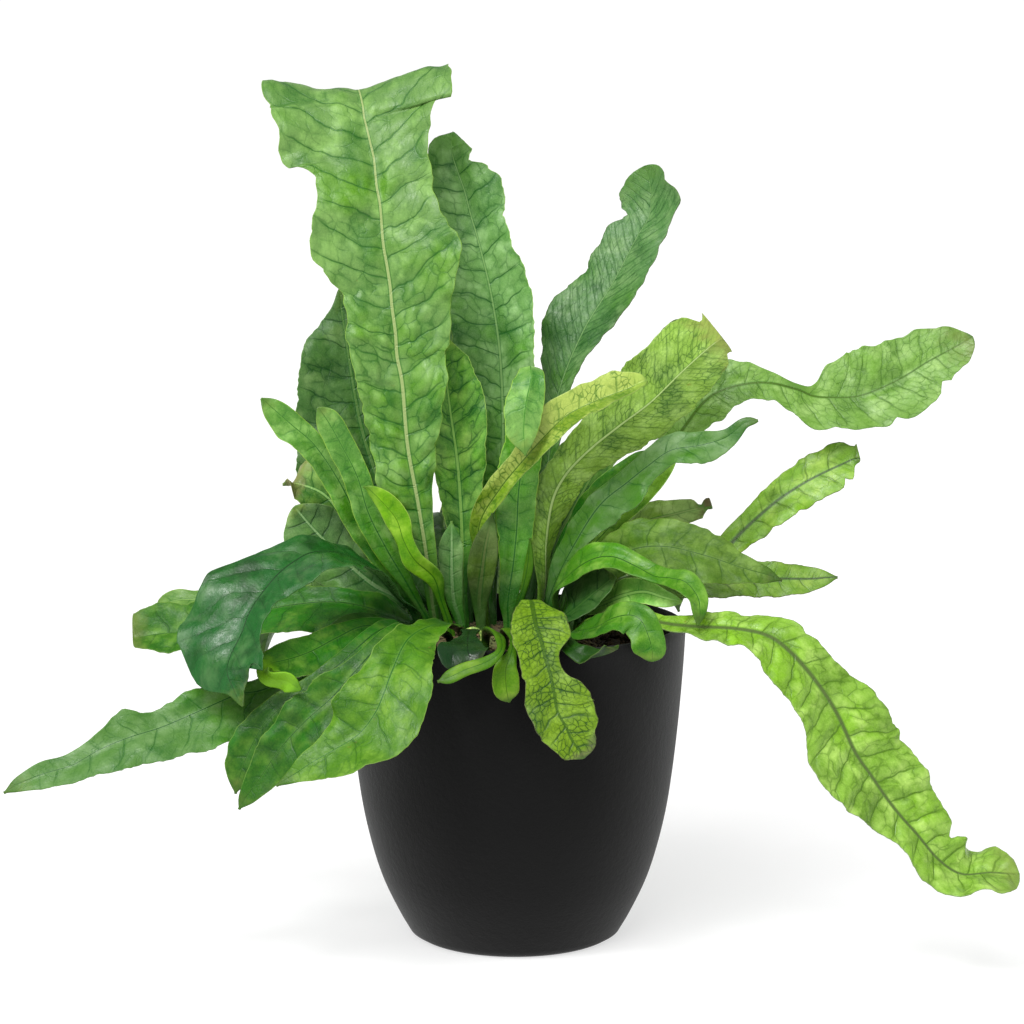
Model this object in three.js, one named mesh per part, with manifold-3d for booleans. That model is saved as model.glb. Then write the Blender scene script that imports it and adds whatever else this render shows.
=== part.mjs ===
import * as THREE from 'three';
import { mergeVertices } from 'three/addons/utils/BufferGeometryUtils.js';
import Module from 'manifold-3d';

// Potted crocodile fern: a matt black pot, potting mix, a scaly rhizome and about fifty strap fronds.
// Units are millimetres, +Z is up, and the origin is the middle of the pot's flat underside.

// Pot
const POT_HEIGHT = 186;
const POT_RADIUS = 100;
const POT_BASE_RADIUS = 58;
const POT_WALL = 5;
const POT_FLOOR = 10;
const LIP_HEIGHT = 5;
const TURNS = 36;

// Potting mix and rhizome
const MIX_TOP = 167;
const MIX_CROWN = 3;
const MIX_CROWN_RADIUS = 60;
const WALL_SLOPE = 0.05;
const CLEARANCE = 0.3;
const RHIZOME = { x: -14, y: 7, halfWidth: 62, halfDepth: 53, bottom: 158, edge: 170, top: 178 };
const RHIZOME_SIDES = 20;
const BIG_LUMP = 0.035;
const SMALL_LUMP = 0.02;
const TOP_BUMP = 0.9;

// Fronds: half thicknesses of the stalk, of the blade beside the midrib and of its margin
const STALK_HALF = 2.0;
const MIDRIB_HALF = 1.3;
const BLADE_HALF = 0.55;
const MARGIN_HALF = 0.45;
const TIP_WIDTH = 0.8;
const STALK_WIDTH = 4;
const BLADE_WIDTH = 9;
const MIDRIB_THINNING = 0.5;
const STALK_SHOULDER = 0.85;
const STALK_EDGE = 0.45;
const TWIST_START = 1;
const TWIST_STATIONS = 3;
const SPLINE_SAMPLES = 12;
const TANGENT_STEP = 0.05;
const TIP_ANGLE = 50;
const LEFT_WAVE_PHASE = 0.6;
const RIGHT_WAVE_PHASE = 2.9;
const FULL_WAVE_WIDTH = 15;
const DEFAULTS = { twist: 0, across: 4 };

// Holes for the stalks, and the height above which they end
const SOCKET_GROW = 0.65;
const SOCKET_TOP = 191;
const SOCKET_RINGS = 3;

// Furled young frond
const CROZIER = { x: -30, y: -20, bottom: 166, stem: 13, coil: 6.2, thickness: 1.3, turns: 1.25,
  straight: 0.4, tightening: 0.65, lean: 1.5 };

const FINISH = {
  pot: { color: 0x121212, roughness: 0.62, metalness: 0 },
  mix: { color: 0x2b2119, roughness: 0.95, metalness: 0 },
  rhizome: { color: 0x4a3a26, roughness: 0.85, metalness: 0 },
  deep: { color: 0x2f6b34, roughness: 0.4, metalness: 0 },
  green: { color: 0x4f9a34, roughness: 0.42, metalness: 0 },
  lime: { color: 0x86c72c, roughness: 0.4, metalness: 0 },
  olive: { color: 0x7c8f3c, roughness: 0.5, metalness: 0 },
  brown: { color: 0x5d5a3a, roughness: 0.6, metalness: 0 },
};

// Each frond is named for where it stands. A station is [x, y, z, half width left, half width right],
// seen from the upper face with the tip up, and the first one is the root in the rhizome. Facing is the
// direction in degrees in which the frond leans, and twist turns the blade about its midrib.
const FRONDS = [
  { name: 'frond_tall_front', finish: 'green', facing: 90, fold: 10, ruffle: 2.5, waves: 5, tip: 6,
    rings: 26,
    stations: [[-43, -2, 166, 3, 3, 0], [-44, -3, 184, 3, 3, 0], [-47, -6, 190, 3, 3, 0],
      [-51, -9, 223, 6, 6, 0], [-56, -10, 256, 19.5, 8.5, 0], [-62, -9, 290, 21, 17.5, 0],
      [-65, -6, 325, 26.5, 26.5, 0], [-68, -4, 341, 27, 29.5, 0], [-69, -3, 355, 29, 33.5, 0],
      [-71, -1, 370, 26.5, 36, 0], [-72, 1, 381, 29, 40, 0], [-74, 3, 394, 36, 45, 0],
      [-76, 5, 405, 42, 44, 0], [-77, 8, 416, 41, 37.5, 0], [-78, 10, 428, 38.5, 33.5, 0],
      [-80, 14, 438, 36, 33, 0], [-81, 17, 447, 37, 32.5, 0], [-82, 20, 455, 48.5, 33, 0],
      [-84, 23, 463, 53.5, 35.5, 0], [-86, 26, 471, 52, 39.5, 0], [-88, 31, 478, 52.5, 49, 0],
      [-89, 36, 485, 53.5, 54, -5], [-92, 50, 494, 56.5, 54, -7], [-94, 74, 490, 52, 29, -7],
      [-96, 92, 476, 48.5, 16, -7], [-96, 97, 461, 42.5, 12, -7]] },
  { name: 'frond_second_centre', finish: 'green', facing: 90, fold: 12, ruffle: 1.5, waves: 4,
    tip: 18, rings: 12,
    stations: [[-30, 14, 166, 3, 3], [-30, 14, 184, 3, 3], [-31, 15, 202, 3, 3],
      [-31, 16, 225, 5.5, 5.5], [-32, 17, 252, 12, 12], [-34, 18, 279, 15.5, 17.5],
      [-38, 20, 308, 15.5, 22.5], [-41, 23, 334, 13, 15.5], [-42, 26, 352, 3.5, 4.5]] },
  { name: 'frond_tall_right', finish: 'green', facing: 85, fold: 12, ruffle: 2, waves: 5, tip: 6, rings: 18,
    stations: [[-13, 26, 166, 3, 3], [-14, 26, 184, 3, 3], [-16, 28, 199, 3, 3],
      [-11, 31, 235, 5, 5.5], [-8, 35, 271, 14.5, 12], [-7, 39, 300, 24, 18],
      [-9, 44, 341, 27.5, 22.5], [-14, 49, 374, 27.5, 24.5], [-21, 55, 403, 25, 19],
      [-26, 60, 420, 22.5, 21], [-30, 64, 435, 20.5, 24], [-34, 68, 446, 19, 15.5],
      [-37, 72, 455, 16, 13], [-38, 76, 463, 11.5, 8.5], [-37, 79, 470, 3, 3.5]] },
  { name: 'frond_right_upright', finish: 'green', facing: 60, fold: 12, ruffle: 2, waves: 5,
    tip: 6, rings: 17,
    stations: [[1, 33, 166, 3, 3], [3, 34, 184, 3, 3], [10, 36, 198, 3.5, 3.5],
      [18, 43, 246, 5.5, 5.5], [22, 50, 287, 9.5, 7.5], [28, 57, 319, 14, 9], [42, 64, 352, 26.5, 16],
      [59, 71, 379, 21.5, 23.5], [73, 78, 405, 19, 20], [81, 83, 418, 18, 18.5], [83, 86, 429, 21, 22],
      [82, 88, 440, 19, 15], [79, 90, 450, 12, 9.5]] },
  { name: 'frond_back_left', finish: 'deep', facing: 95, fold: 5, ruffle: 2, waves: 4, tip: 10, rings: 15,
    stations: [[-42, 37, 166, 3, 3], [-45, 38, 184, 3, 3], [-54, 42, 197, 3.5, 3.5],
      [-70, 56, 232, 12, 12], [-83, 66, 261, 48.5, 24.5], [-93, 72, 291, 40, 28],
      [-99, 78, 321, 34, 27], [-103, 84, 345, 26, 22], [-106, 89, 364, 6.5, 10], [-107, 92, 376, 2, 2]] },
  { name: 'frond_left_olive', finish: 'olive', facing: 95, fold: 10, ruffle: 1, waves: 3, tip: 10, rings: 9,
    stations: [[-62, 24, 166, 2.5, 2.5], [-62, 25, 184, 2.5, 2.5], [-64, 29, 193, 2.5, 2.5],
      [-86, 36, 215, 7, 6], [-102, 40, 240, 12, 13], [-114, 41, 255, 14.5, 15.5],
      [-129, 42, 261, 12, 14.5], [-139, 43, 261, 4, 4]] },
  { name: 'frond_left_ribbed', finish: 'deep', facing: 160, twist: -65, fold: 8, ruffle: 1,
    waves: 3, tip: 10, rings: 8,
    stations: [[-67, 16, 166, 3, 3], [-68, 17, 184, 3, 3], [-69, 19, 194, 4, 4],
      [-85, 21, 204, 10.5, 6], [-101, 23, 218, 20, 12], [-119, 25, 236, 20, 18], [-131, 26, 250, 9.5, 7]] },
  { name: 'frond_dark_arch', finish: 'deep', facing: 215, twist: -20, fold: 12, ruffle: 2,
    waves: 4, tip: 8, rings: 16,
    stations: [[-56, -7, 166, 3, 3], [-57, -8, 184, 3, 3], [-60, -9, 193, 8, 8],
      [-68, -13, 202, 10.5, 9.5], [-81, -22, 218, 12, 12], [-93, -31, 227, 14.5, 12],
      [-104, -40, 232, 34.5, 10.5], [-115, -50, 233, 39, 14.5], [-123, -58, 230, 31.5, 20.5],
      [-132, -67, 224, 26.5, 23], [-141, -77, 214, 16.5, 33.5], [-147, -84, 205, 16.5, 33.5],
      [-151, -91, 194, 16, 37.5], [-156, -98, 184, 25.5, 36], [-158, -101, 175, 26, 21],
      [-154, -104, 166, 14, 6], [-149, -107, 157, 2.5, 2.5]] },
  { name: 'frond_left_long', finish: 'green', facing: 200, twist: -48, fold: 12, ruffle: 1.5,
    waves: 5, tip: 8, rings: 18,
    stations: [[-60, -14, 166, 3, 3], [-63, -16, 178, 3, 3], [-71, -22, 185, 8, 8],
      [-93, -38, 191, 6.5, 6.5], [-111, -51, 179, 7.5, 6], [-127, -62, 165, 13.5, 8.5],
      [-142, -69, 158, 21.5, 7.5], [-157, -75, 156, 29, 7.5], [-178, -83, 148, 27.5, 13.5],
      [-197, -90, 141, 23.5, 10.5], [-213, -96, 137, 20, 15.5], [-229, -100, 131, 18.5, 8.5],
      [-244, -104, 123, 12.5, 7.5], [-259, -107, 119, 10, 7], [-272, -109, 114, 5.5, 4.5],
      [-281, -110, 109, 1, 1]] },
  { name: 'frond_left_middle', finish: 'green', facing: 190, twist: -42, fold: 18, ruffle: 1.5,
    waves: 4, tip: 2, rings: 14,
    stations: [[-67, 2, 166, 3, 3], [-66, 2, 176, 3, 3], [-62, 3, 182, 8, 8],
      [-79, 2, 190, 17.5, 12.5], [-96, 1, 195, 23, 10], [-113, 2, 196, 28.5, 11],
      [-137, 4, 193, 26.5, 11], [-165, 7, 186, 22, 13.5], [-194, 10, 178, 20, 18],
      [-213, 12, 175, 13.5, 18], [-226, 12, 173, 10.5, 13.5]] },
  { name: 'frond_left_arched_tip', finish: 'lime', facing: 180, twist: -40, fold: 10, ruffle: 1,
    waves: 3, tip: 6, rings: 9, across: 2,
    stations: [[-54, 38, 166, 3, 3], [-58, 38, 178, 3, 3], [-69, 37, 186, 8, 8], [-90, 37, 194, 9, 9],
      [-108, 38, 198, 8, 8], [-135, 40, 197, 8, 8], [-165, 42, 197, 7, 7], [-190, 44, 191, 7.5, 6.5],
      [-203, 45, 190, 6.5, 7.5], [-211, 46, 187, 6, 7], [-216, 46, 181, 2, 2]] },
  { name: 'frond_left_shaded', finish: 'deep', facing: 205, twist: -50, fold: 10, ruffle: 0.6,
    waves: 3, tip: 7, rings: 16,
    stations: [[-55, -26, 166, 3, 3], [-58, -29, 179, 3, 3], [-68, -38, 187, 8, 8],
      [-86, -52, 191, 8, 6.5], [-100, -63, 187, 10.5, 8.5], [-114, -73, 181, 15, 10.5],
      [-126, -81, 178, 13.5, 11.5], [-135, -88, 177, 7.5, 8], [-138, -97, 175, 4.5, 5],
      [-134, -105, 173, 5, 6], [-125, -109, 172, 6.5, 7.5], [-117, -111, 167, 3, 3.5]] },
  { name: 'frond_left_lower_back', finish: 'green', facing: 215, twist: -40, fold: 10, ruffle: 1,
    waves: 3, tip: 8, rings: 11,
    stations: [[-46, -33, 166, 3, 3], [-49, -36, 180, 3, 3], [-65, -52, 190, 8, 8],
      [-77, -70, 191, 6, 6], [-95, -86, 178, 6, 6], [-112, -94, 165, 8, 6.5], [-124, -98, 158, 9.5, 8],
      [-137, -101, 147, 10.5, 10], [-145, -103, 134, 13, 13], [-150, -106, 122, 10, 10],
      [-153, -107, 112, 3.5, 4.5], [-154, -107, 108, 1, 1]] },
  { name: 'frond_left_lower', finish: 'green', facing: 228, twist: -30, fold: 10, ruffle: 1.5,
    waves: 3, tip: 8, rings: 11,
    stations: [[-37, -36, 166, 3, 3], [-39, -39, 184, 3, 3], [-57, -66, 191, 8, 8],
      [-69, -85, 192, 6, 6.5], [-84, -99, 179, 10.5, 7], [-100, -107, 162, 14.5, 13],
      [-115, -111, 149, 15, 14], [-129, -114, 134, 14.5, 11.5], [-140, -117, 118, 9, 8],
      [-148, -118, 107, 4.5, 4], [-151, -119, 102, 1, 1]] },
  { name: 'frond_front_left_broad', finish: 'green', facing: 240, twist: -18, fold: 10, ruffle: 2,
    waves: 4, tip: 8, rings: 14,
    stations: [[-29, -27, 166, 3, 3], [-31, -31, 184, 3, 3], [-39, -50, 192, 8, 8],
      [-50, -74, 194, 13.5, 9.5], [-60, -92, 190, 18.5, 11], [-67, -108, 177, 24, 16.5],
      [-71, -117, 167, 27.5, 22], [-76, -122, 156, 27.5, 24], [-85, -126, 145, 24.5, 22],
      [-97, -130, 138, 20.5, 12.5], [-110, -133, 131, 12, 8], [-119, -134, 125, 5.5, 4.5],
      [-129, -135, 119, 1, 1]] },
  { name: 'frond_front_centre_net', finish: 'olive', facing: 275, fold: 8, ruffle: 1.2, waves: 4,
    tip: 5, rings: 16,
    stations: [[4, -27, 166, 3, 3], [4, -31, 184, 3, 3], [5, -44, 197, 3, 3], [7, -58, 204, 5.5, 5.5],
      [9, -76, 209, 6.5, 6], [11, -98, 202, 17, 14.5], [14, -108, 194, 17, 16.5],
      [16, -115, 187, 8.5, 15.5], [19, -120, 177, 8, 15.5], [21, -124, 168, 17, 16],
      [23, -128, 158, 21, 16.5], [27, -131, 151, 19, 14.5], [31, -133, 143, 15, 12],
      [35, -134, 138, 11, 8.5], [37, -134, 134, 4.5, 4.5]] },
  { name: 'frond_lime_left', finish: 'lime', facing: 215, twist: -45, fold: 10, ruffle: 0.5,
    waves: 2, tip: 6, rings: 8, across: 2,
    stations: [[-17, -39, 166, 3, 3], [-17, -43, 184, 3, 3], [-14, -66, 191, 4, 4],
      [-9, -94, 193, 3.5, 3.5], [-8, -115, 189, 2, 2.5], [-15, -120, 184, 3.5, 3.5],
      [-27, -123, 180, 3.5, 4.5], [-36, -124, 176, 3.5, 4], [-42, -124, 174, 1, 1]] },
  { name: 'frond_lime_paddle', finish: 'lime', facing: 270, fold: 8, ruffle: 0.5, waves: 2, tip: 6,
    rings: 9, across: 2,
    stations: [[-6, -38, 166, 3, 3], [-6, -42, 184, 3, 3], [-2, -68, 192, 5.5, 5.5],
      [-1, -93, 191, 2, 2], [-2, -107, 186, 3, 3], [-5, -112, 179, 6.5, 6.5],
      [-5, -114, 171, 7.5, 7.5], [-4, -115, 164, 6, 6], [-3, -115, 161, 2, 2]] },
  { name: 'frond_front_dark', finish: 'deep', facing: 265, fold: 10, ruffle: 1, waves: 2, tip: 6,
    rings: 7, across: 2,
    stations: [[-30, -40, 166, 3, 3], [-29, -44, 184, 3, 3], [-25, -66, 191, 5.5, 5.5],
      [-26, -84, 191, 4.5, 4.5], [-26, -106, 188, 11, 15.5], [-24, -112, 184, 11, 14],
      [-21, -113, 180, 5, 5.5]] },
  { name: 'frond_under_rim', finish: 'green', facing: 290, twist: 25, fold: 10, ruffle: 0.5,
    waves: 2, tip: 1, rings: 8, across: 2,
    stations: [[15, -36, 166, 3, 3], [15, -40, 179, 3, 3], [17, -58, 188, 6.5, 6.5],
      [24, -84, 192, 4.5, 4.5], [31, -108, 189, 5, 5], [39, -113, 186, 6.5, 7],
      [46, -115, 187, 10.5, 10.5], [52, -115, 189, 9.5, 9.5], [55, -116, 191, 6.5, 6.5]] },
  { name: 'frond_right_lobed', finish: 'green', facing: 320, twist: 50, fold: 10, ruffle: 1,
    waves: 3, tip: 6, rings: 12,
    stations: [[26, -25, 166, 3, 3], [28, -29, 178, 3, 3], [34, -44, 186, 8, 8],
      [46, -60, 192, 12, 12], [55, -70, 199, 9, 11.5], [64, -76, 202, 8, 12.5],
      [70, -80, 200, 8.5, 11], [74, -84, 192, 9, 11], [76, -86, 184, 8, 10], [76, -87, 178, 6, 7]] },
  { name: 'frond_long_right_droop', finish: 'green', facing: 320, twist: 25, fold: 8, ruffle: 2,
    waves: 7, tip: 6, rings: 28,
    stations: [[33, -20, 166, 3, 3], [36, -23, 184, 3, 3], [49, -37, 194, 6.5, 6.5],
      [66, -49, 196, 8.5, 10], [84, -59, 194, 7.5, 7.5], [104, -65, 193, 10.5, 11.5],
      [123, -70, 193, 13, 16.5], [141, -75, 190, 15.5, 21.5], [154, -80, 181, 16, 23],
      [168, -83, 165, 19.5, 24.5], [179, -86, 148, 25.5, 27], [189, -89, 127, 29.5, 32.5],
      [198, -91, 114, 28.5, 30], [207, -92, 101, 28.5, 22.5], [215, -93, 91, 27, 17],
      [224, -94, 81, 24.5, 15.5], [236, -95, 67, 19, 18.5], [249, -96, 59, 21, 16.5],
      [265, -97, 60, 20, 22], [281, -97, 59, 10.5, 12]] },
  { name: 'frond_right_pale', finish: 'green', facing: 325, twist: 60, fold: 10, ruffle: 0.8,
    waves: 3, tip: 8, rings: 9,
    stations: [[31, -12, 166, 3, 3], [32, -12, 184, 3, 3], [35, -10, 192, 6.5, 6.5],
      [49, -16, 197, 7.5, 7.5], [62, -23, 204, 11, 9], [74, -32, 208, 7.5, 8],
      [85, -39, 206, 4.5, 6.5], [95, -43, 204, 2.5, 3]] },
  { name: 'frond_right_wavy', finish: 'green', facing: 345, twist: 45, fold: 10, ruffle: 1,
    waves: 3, tip: 8, rings: 15,
    stations: [[26, -3, 166, 3, 3], [26, -4, 184, 3, 3], [24, -9, 203, 6.5, 6.5],
      [32, -16, 215, 10.5, 10.5], [44, -24, 225, 11, 9.5], [56, -31, 228, 9, 9.5],
      [68, -38, 224, 8, 8], [79, -46, 219, 7.5, 4.5], [88, -53, 219, 6, 6], [96, -60, 218, 8, 9],
      [102, -66, 211, 6.5, 8.5], [103, -71, 204, 4.5, 6.5], [102, -74, 196, 2, 2]] },
  { name: 'frond_right_broad', finish: 'olive', facing: 350, twist: 60, fold: 8, ruffle: 1.5,
    waves: 3, tip: 10, rings: 12,
    stations: [[37, 1, 166, 3, 3], [37, 1, 184, 3, 3], [38, 2, 204, 6.5, 6.5], [51, -3, 217, 12, 12],
      [68, -10, 229, 16.5, 15.5], [87, -17, 232, 18, 17.5], [109, -24, 228, 14.5, 19.5],
      [129, -29, 222, 8.5, 12], [144, -32, 218, 4.5, 6], [153, -34, 215, 1, 1]] },
  { name: 'frond_right_low', finish: 'green', facing: 5, twist: 55, fold: 8, ruffle: 1, waves: 3,
    tip: 8, rings: 10,
    stations: [[40, 13, 166, 3, 3], [43, 13, 184, 3, 3], [50, 12, 200, 6, 6], [80, 11, 205, 9.5, 9.5],
      [109, 10, 207, 10.5, 11.5], [135, 9, 209, 11.5, 13], [159, 9, 209, 10, 12.5],
      [175, 9, 209, 8, 8.5], [190, 9, 210, 1.5, 1.5]] },
  { name: 'frond_right_torn', finish: 'green', facing: 5, twist: 60, fold: 8, ruffle: 1.5,
    waves: 4, tip: 1, rings: 12,
    stations: [[36, 25, 166, 3, 3], [40, 25, 184, 3, 3], [63, 27, 201, 5.5, 5.5], [98, 30, 206, 7, 7],
      [121, 31, 219, 7.5, 6], [137, 33, 235, 8.5, 11], [155, 34, 251, 10.5, 14.5],
      [170, 36, 261, 12.5, 15.5], [183, 37, 268, 14, 15.5], [194, 38, 273, 14, 14.5],
      [201, 39, 276, 12.5, 5], [206, 39, 277, 11, 2]] },
  { name: 'frond_right_brown', finish: 'brown', facing: 25, twist: 45, fold: 10, ruffle: 1.5,
    waves: 4, tip: 1, rings: 9,
    stations: [[24, 36, 166, 3, 3], [27, 36, 184, 3, 3], [36, 37, 204, 4.5, 4.5], [57, 41, 223, 9, 9],
      [78, 45, 237, 11.5, 10.5], [96, 48, 242, 10, 10], [110, 50, 245, 7, 8.5], [119, 51, 246, 6.5, 9.5]] },
  { name: 'frond_grey_wavy', finish: 'deep', facing: 15, twist: 55, fold: 10, ruffle: 1.5,
    waves: 5, tip: 6, rings: 14,
    stations: [[19, 8, 166, 3, 3], [20, 8, 184, 3, 3], [23, 8, 202, 6, 6], [33, 8, 225, 9.5, 7],
      [49, 6, 252, 8, 14], [66, 4, 267, 8, 15.5], [78, 2, 277, 8, 9], [91, 1, 286, 10.5, 10],
      [108, 0, 289, 8.5, 14], [123, -1, 294, 5, 7.5], [133, -2, 302, 3.5, 3.5], [141, -3, 304, 2, 2.5]] },
  { name: 'frond_right_net_back', finish: 'olive', facing: 0, twist: -75, fold: 8, ruffle: 1.5,
    waves: 4, tip: 1, rings: 14,
    stations: [[13, 17, 166, 3, 3], [14, 17, 184, 3, 3], [17, 17, 207, 6.5, 6.5],
      [18, 16, 231, 10, 9.5], [22, 15, 255, 13.5, 12], [30, 13, 271, 14.5, 12.5],
      [44, 11, 286, 17.5, 15], [61, 9, 300, 20, 22.5], [79, 7, 314, 22.5, 26], [96, 5, 331, 22.5, 26],
      [111, 3, 345, 18.5, 23.5], [120, 2, 352, 15, 19]] },
  { name: 'frond_right_far', finish: 'green', facing: 10, twist: 60, fold: 8, ruffle: 1.5,
    waves: 5, tip: 12, rings: 22,
    stations: [[33, 18, 166, 3, 3], [34, 19, 184, 3, 3], [37, 22, 212, 5.5, 5.5],
      [62, 29, 241, 6.5, 6.5], [83, 34, 269, 7.5, 7.5], [101, 37, 296, 11, 10], [115, 38, 313, 16, 17],
      [131, 39, 320, 17.5, 13], [149, 40, 322, 8.5, 11], [167, 41, 318, 4, 15],
      [177, 42, 314, 8, 21.5], [188, 43, 313, 22.5, 21.5], [206, 44, 314, 28, 23.5],
      [228, 45, 323, 24.5, 26.5], [246, 46, 334, 21, 21], [261, 47, 342, 16, 13.5],
      [273, 47, 349, 6, 10]] },
  { name: 'frond_right_behind', finish: 'green', facing: 50, fold: 10, ruffle: 1.5, waves: 4,
    tip: 10, rings: 11,
    stations: [[10, 43, 166, 3, 3], [12, 44, 184, 3, 3], [20, 48, 214, 4, 4], [39, 54, 250, 8, 8],
      [60, 60, 286, 13, 14.5], [82, 66, 317, 14, 19.5], [94, 70, 341, 11, 14], [100, 72, 358, 7, 7.5]] },
  { name: 'frond_right_bright', finish: 'green', facing: 35, twist: 30, fold: 10, ruffle: 1,
    waves: 3, tip: 8, rings: 9, across: 2,
    stations: [[15, 27, 166, 3, 3], [17, 27, 184, 3, 3], [22, 28, 208, 4, 4], [35, 29, 232, 8, 8],
      [48, 30, 250, 10, 10], [61, 31, 265, 8.5, 10], [74, 31, 277, 5.5, 5.5], [81, 31, 283, 1.5, 1.5]] },
  { name: 'frond_right_yellow', finish: 'green', facing: 30, twist: 35, fold: 10, ruffle: 1,
    waves: 3, tip: 8, rings: 9, across: 2,
    stations: [[28, 11, 166, 3, 3], [30, 12, 184, 3, 3], [38, 13, 215, 4, 4], [55, 16, 237, 6.5, 6.5],
      [74, 17, 257, 8, 7], [86, 17, 272, 7, 7], [92, 17, 283, 5, 5], [96, 17, 291, 1.5, 1.5]] },
  { name: 'frond_yellow_twist', finish: 'olive', facing: 40, twist: 30, fold: 35, ruffle: 1,
    waves: 3, tip: 2, rings: 12,
    stations: [[-15, 16, 166, 3, 3], [-16, 15, 184, 3, 3], [-19, 12, 217, 3, 3],
      [-20, 8, 242, 6.5, 6.5], [-9, -1, 263, 9, 8], [4, -8, 280, 8.5, 9], [16, -12, 294, 12.5, 12.5],
      [29, -14, 307, 13, 13.5], [44, -15, 315, 12.5, 15], [59, -16, 321, 14, 14],
      [71, -17, 326, 7.5, 6.5], [76, -17, 328, 3.5, 3.5]] },
  { name: 'frond_centre_hooked', finish: 'green', facing: 90, fold: 8, ruffle: 1, waves: 4, tip: 8,
    rings: 16,
    stations: [[-4, 9, 166, 3, 3], [-4, 9, 184, 3, 3], [-4, 8, 197, 5.5, 5.5], [-1, 8, 218, 8, 7.5],
      [1, 9, 238, 11.5, 10], [2, 9, 259, 14, 11.5], [4, 9, 277, 14, 11.5], [6, 9, 297, 11.5, 10.5],
      [8, 8, 316, 9.5, 8], [9, 2, 331, 6.5, 5], [9, -8, 335, 6.5, 6.5], [9, -17, 329, 10, 8.5],
      [6, -22, 314, 11.5, 11], [5, -24, 300, 10.5, 8.5], [6, -25, 286, 1.5, 1.5]] },
  { name: 'frond_left_lime_paddle', finish: 'lime', facing: 110, twist: -10, fold: 12, ruffle: 1,
    waves: 4, tip: 6, rings: 14,
    stations: [[-55, 13, 166, 2.5, 2.5], [-56, 12, 184, 2.5, 2.5], [-57, 11, 191, 2.5, 2.5],
      [-69, 8, 209, 5.5, 5.5], [-81, 5, 228, 8, 7], [-93, 2, 249, 10, 9], [-103, 0, 269, 9.5, 7],
      [-116, -2, 289, 9.5, 6.5], [-129, -3, 301, 10.5, 7.5], [-139, -4, 310, 8, 6.5],
      [-147, -4, 317, 2, 2]] },
  { name: 'frond_left_paddle', finish: 'green', facing: 105, twist: -8, fold: 12, ruffle: 1,
    waves: 4, tip: 8, rings: 13,
    stations: [[-50, 3, 166, 2.5, 2.5], [-51, 2, 184, 2.5, 2.5], [-55, 1, 193, 2.5, 2.5],
      [-64, -3, 210, 4.5, 4.5], [-75, -7, 230, 7.5, 7], [-85, -10, 251, 8.5, 7.5],
      [-91, -12, 272, 8.5, 7.5], [-99, -14, 289, 8.5, 8], [-107, -16, 304, 7.5, 8],
      [-113, -17, 313, 3.5, 4.5]] },
  { name: 'frond_lime_curl', finish: 'lime', facing: 100, twist: -10, fold: 15, ruffle: 1,
    waves: 2, tip: 6, rings: 10,
    stations: [[-36, -11, 166, 2.5, 2.5], [-38, -12, 184, 2.5, 2.5], [-43, -15, 201, 2.5, 2.5],
      [-47, -19, 215, 5.5, 5.5], [-58, -23, 226, 7, 5.5], [-64, -24, 237, 4.5, 6],
      [-68, -24, 249, 7, 8], [-76, -24, 259, 4.5, 7.5], [-83, -24, 266, 2.5, 3.5],
      [-87, -24, 268, 0.5, 0.5]] },
  { name: 'frond_grey_centre', finish: 'deep', facing: 95, fold: 10, ruffle: 0.5, waves: 2, tip: 8,
    rings: 7, across: 2,
    stations: [[-31, 2, 166, 3, 3], [-32, 2, 184, 3, 3], [-36, 1, 198, 4.5, 5.5],
      [-37, -1, 215, 7, 6.5], [-37, -2, 231, 7.5, 6.5], [-37, -2, 245, 1, 1]] },
  { name: 'frond_brown_centre', finish: 'brown', facing: 90, fold: 10, ruffle: 0.5, waves: 2,
    tip: 8, rings: 7, across: 2,
    stations: [[-20, 4, 166, 3, 3], [-20, 3, 184, 3, 3], [-21, 1, 198, 4.5, 5.5], [-19, -5, 217, 9, 8],
      [-17, -9, 232, 8, 7.5], [-13, -12, 251, 1, 1]] },
  { name: 'frond_lime_sliver', finish: 'lime', facing: 60, fold: 10, ruffle: 0.3, waves: 2, tip: 6,
    rings: 7, across: 2,
    stations: [[6, -5, 166, 2, 2], [5, -5, 184, 2, 2], [2, -6, 192, 2, 2], [5, -8, 205, 2, 2.5],
      [8, -9, 220, 2.5, 3.5], [9, -9, 236, 0.5, 0.5]] },
  { name: 'frond_right_shaded', finish: 'deep', facing: 320, twist: 60, fold: 8, ruffle: 0.8,
    waves: 2, tip: 8, rings: 8,
    stations: [[18, -14, 166, 3, 3], [20, -15, 179, 3, 3], [26, -19, 188, 8, 8],
      [34, -22, 195, 18.5, 16], [43, -22, 203, 22, 13.5], [51, -24, 210, 17, 11], [58, -26, 216, 6, 6]] },
  { name: 'frond_back_right_low', finish: 'green', facing: 40, fold: 10, ruffle: 1.5, waves: 3,
    tip: 10, rings: 10,
    stations: [[30, 30, 166, 3, 3], [37, 39, 186, 3, 3], [52, 70, 212, 9, 9], [70, 90, 216, 15, 15],
      [86, 106, 204, 17, 17], [98, 118, 184, 10, 10], [104, 124, 170, 1, 1]] },
  { name: 'frond_back_right', finish: 'green', facing: 66, fold: 10, ruffle: 2, waves: 4, tip: 10,
    rings: 13,
    stations: [[3, 50, 166, 3, 3], [9, 58, 188, 3, 3], [26, 82, 222, 10, 10], [42, 114, 234, 19, 19],
      [60, 148, 220, 22, 22], [74, 174, 184, 20, 20], [82, 188, 146, 12, 12], [84, 192, 124, 1, 1]] },
  { name: 'frond_back_middle', finish: 'green', facing: 92, fold: 10, ruffle: 2, waves: 4, tip: 10,
    rings: 14,
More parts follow.
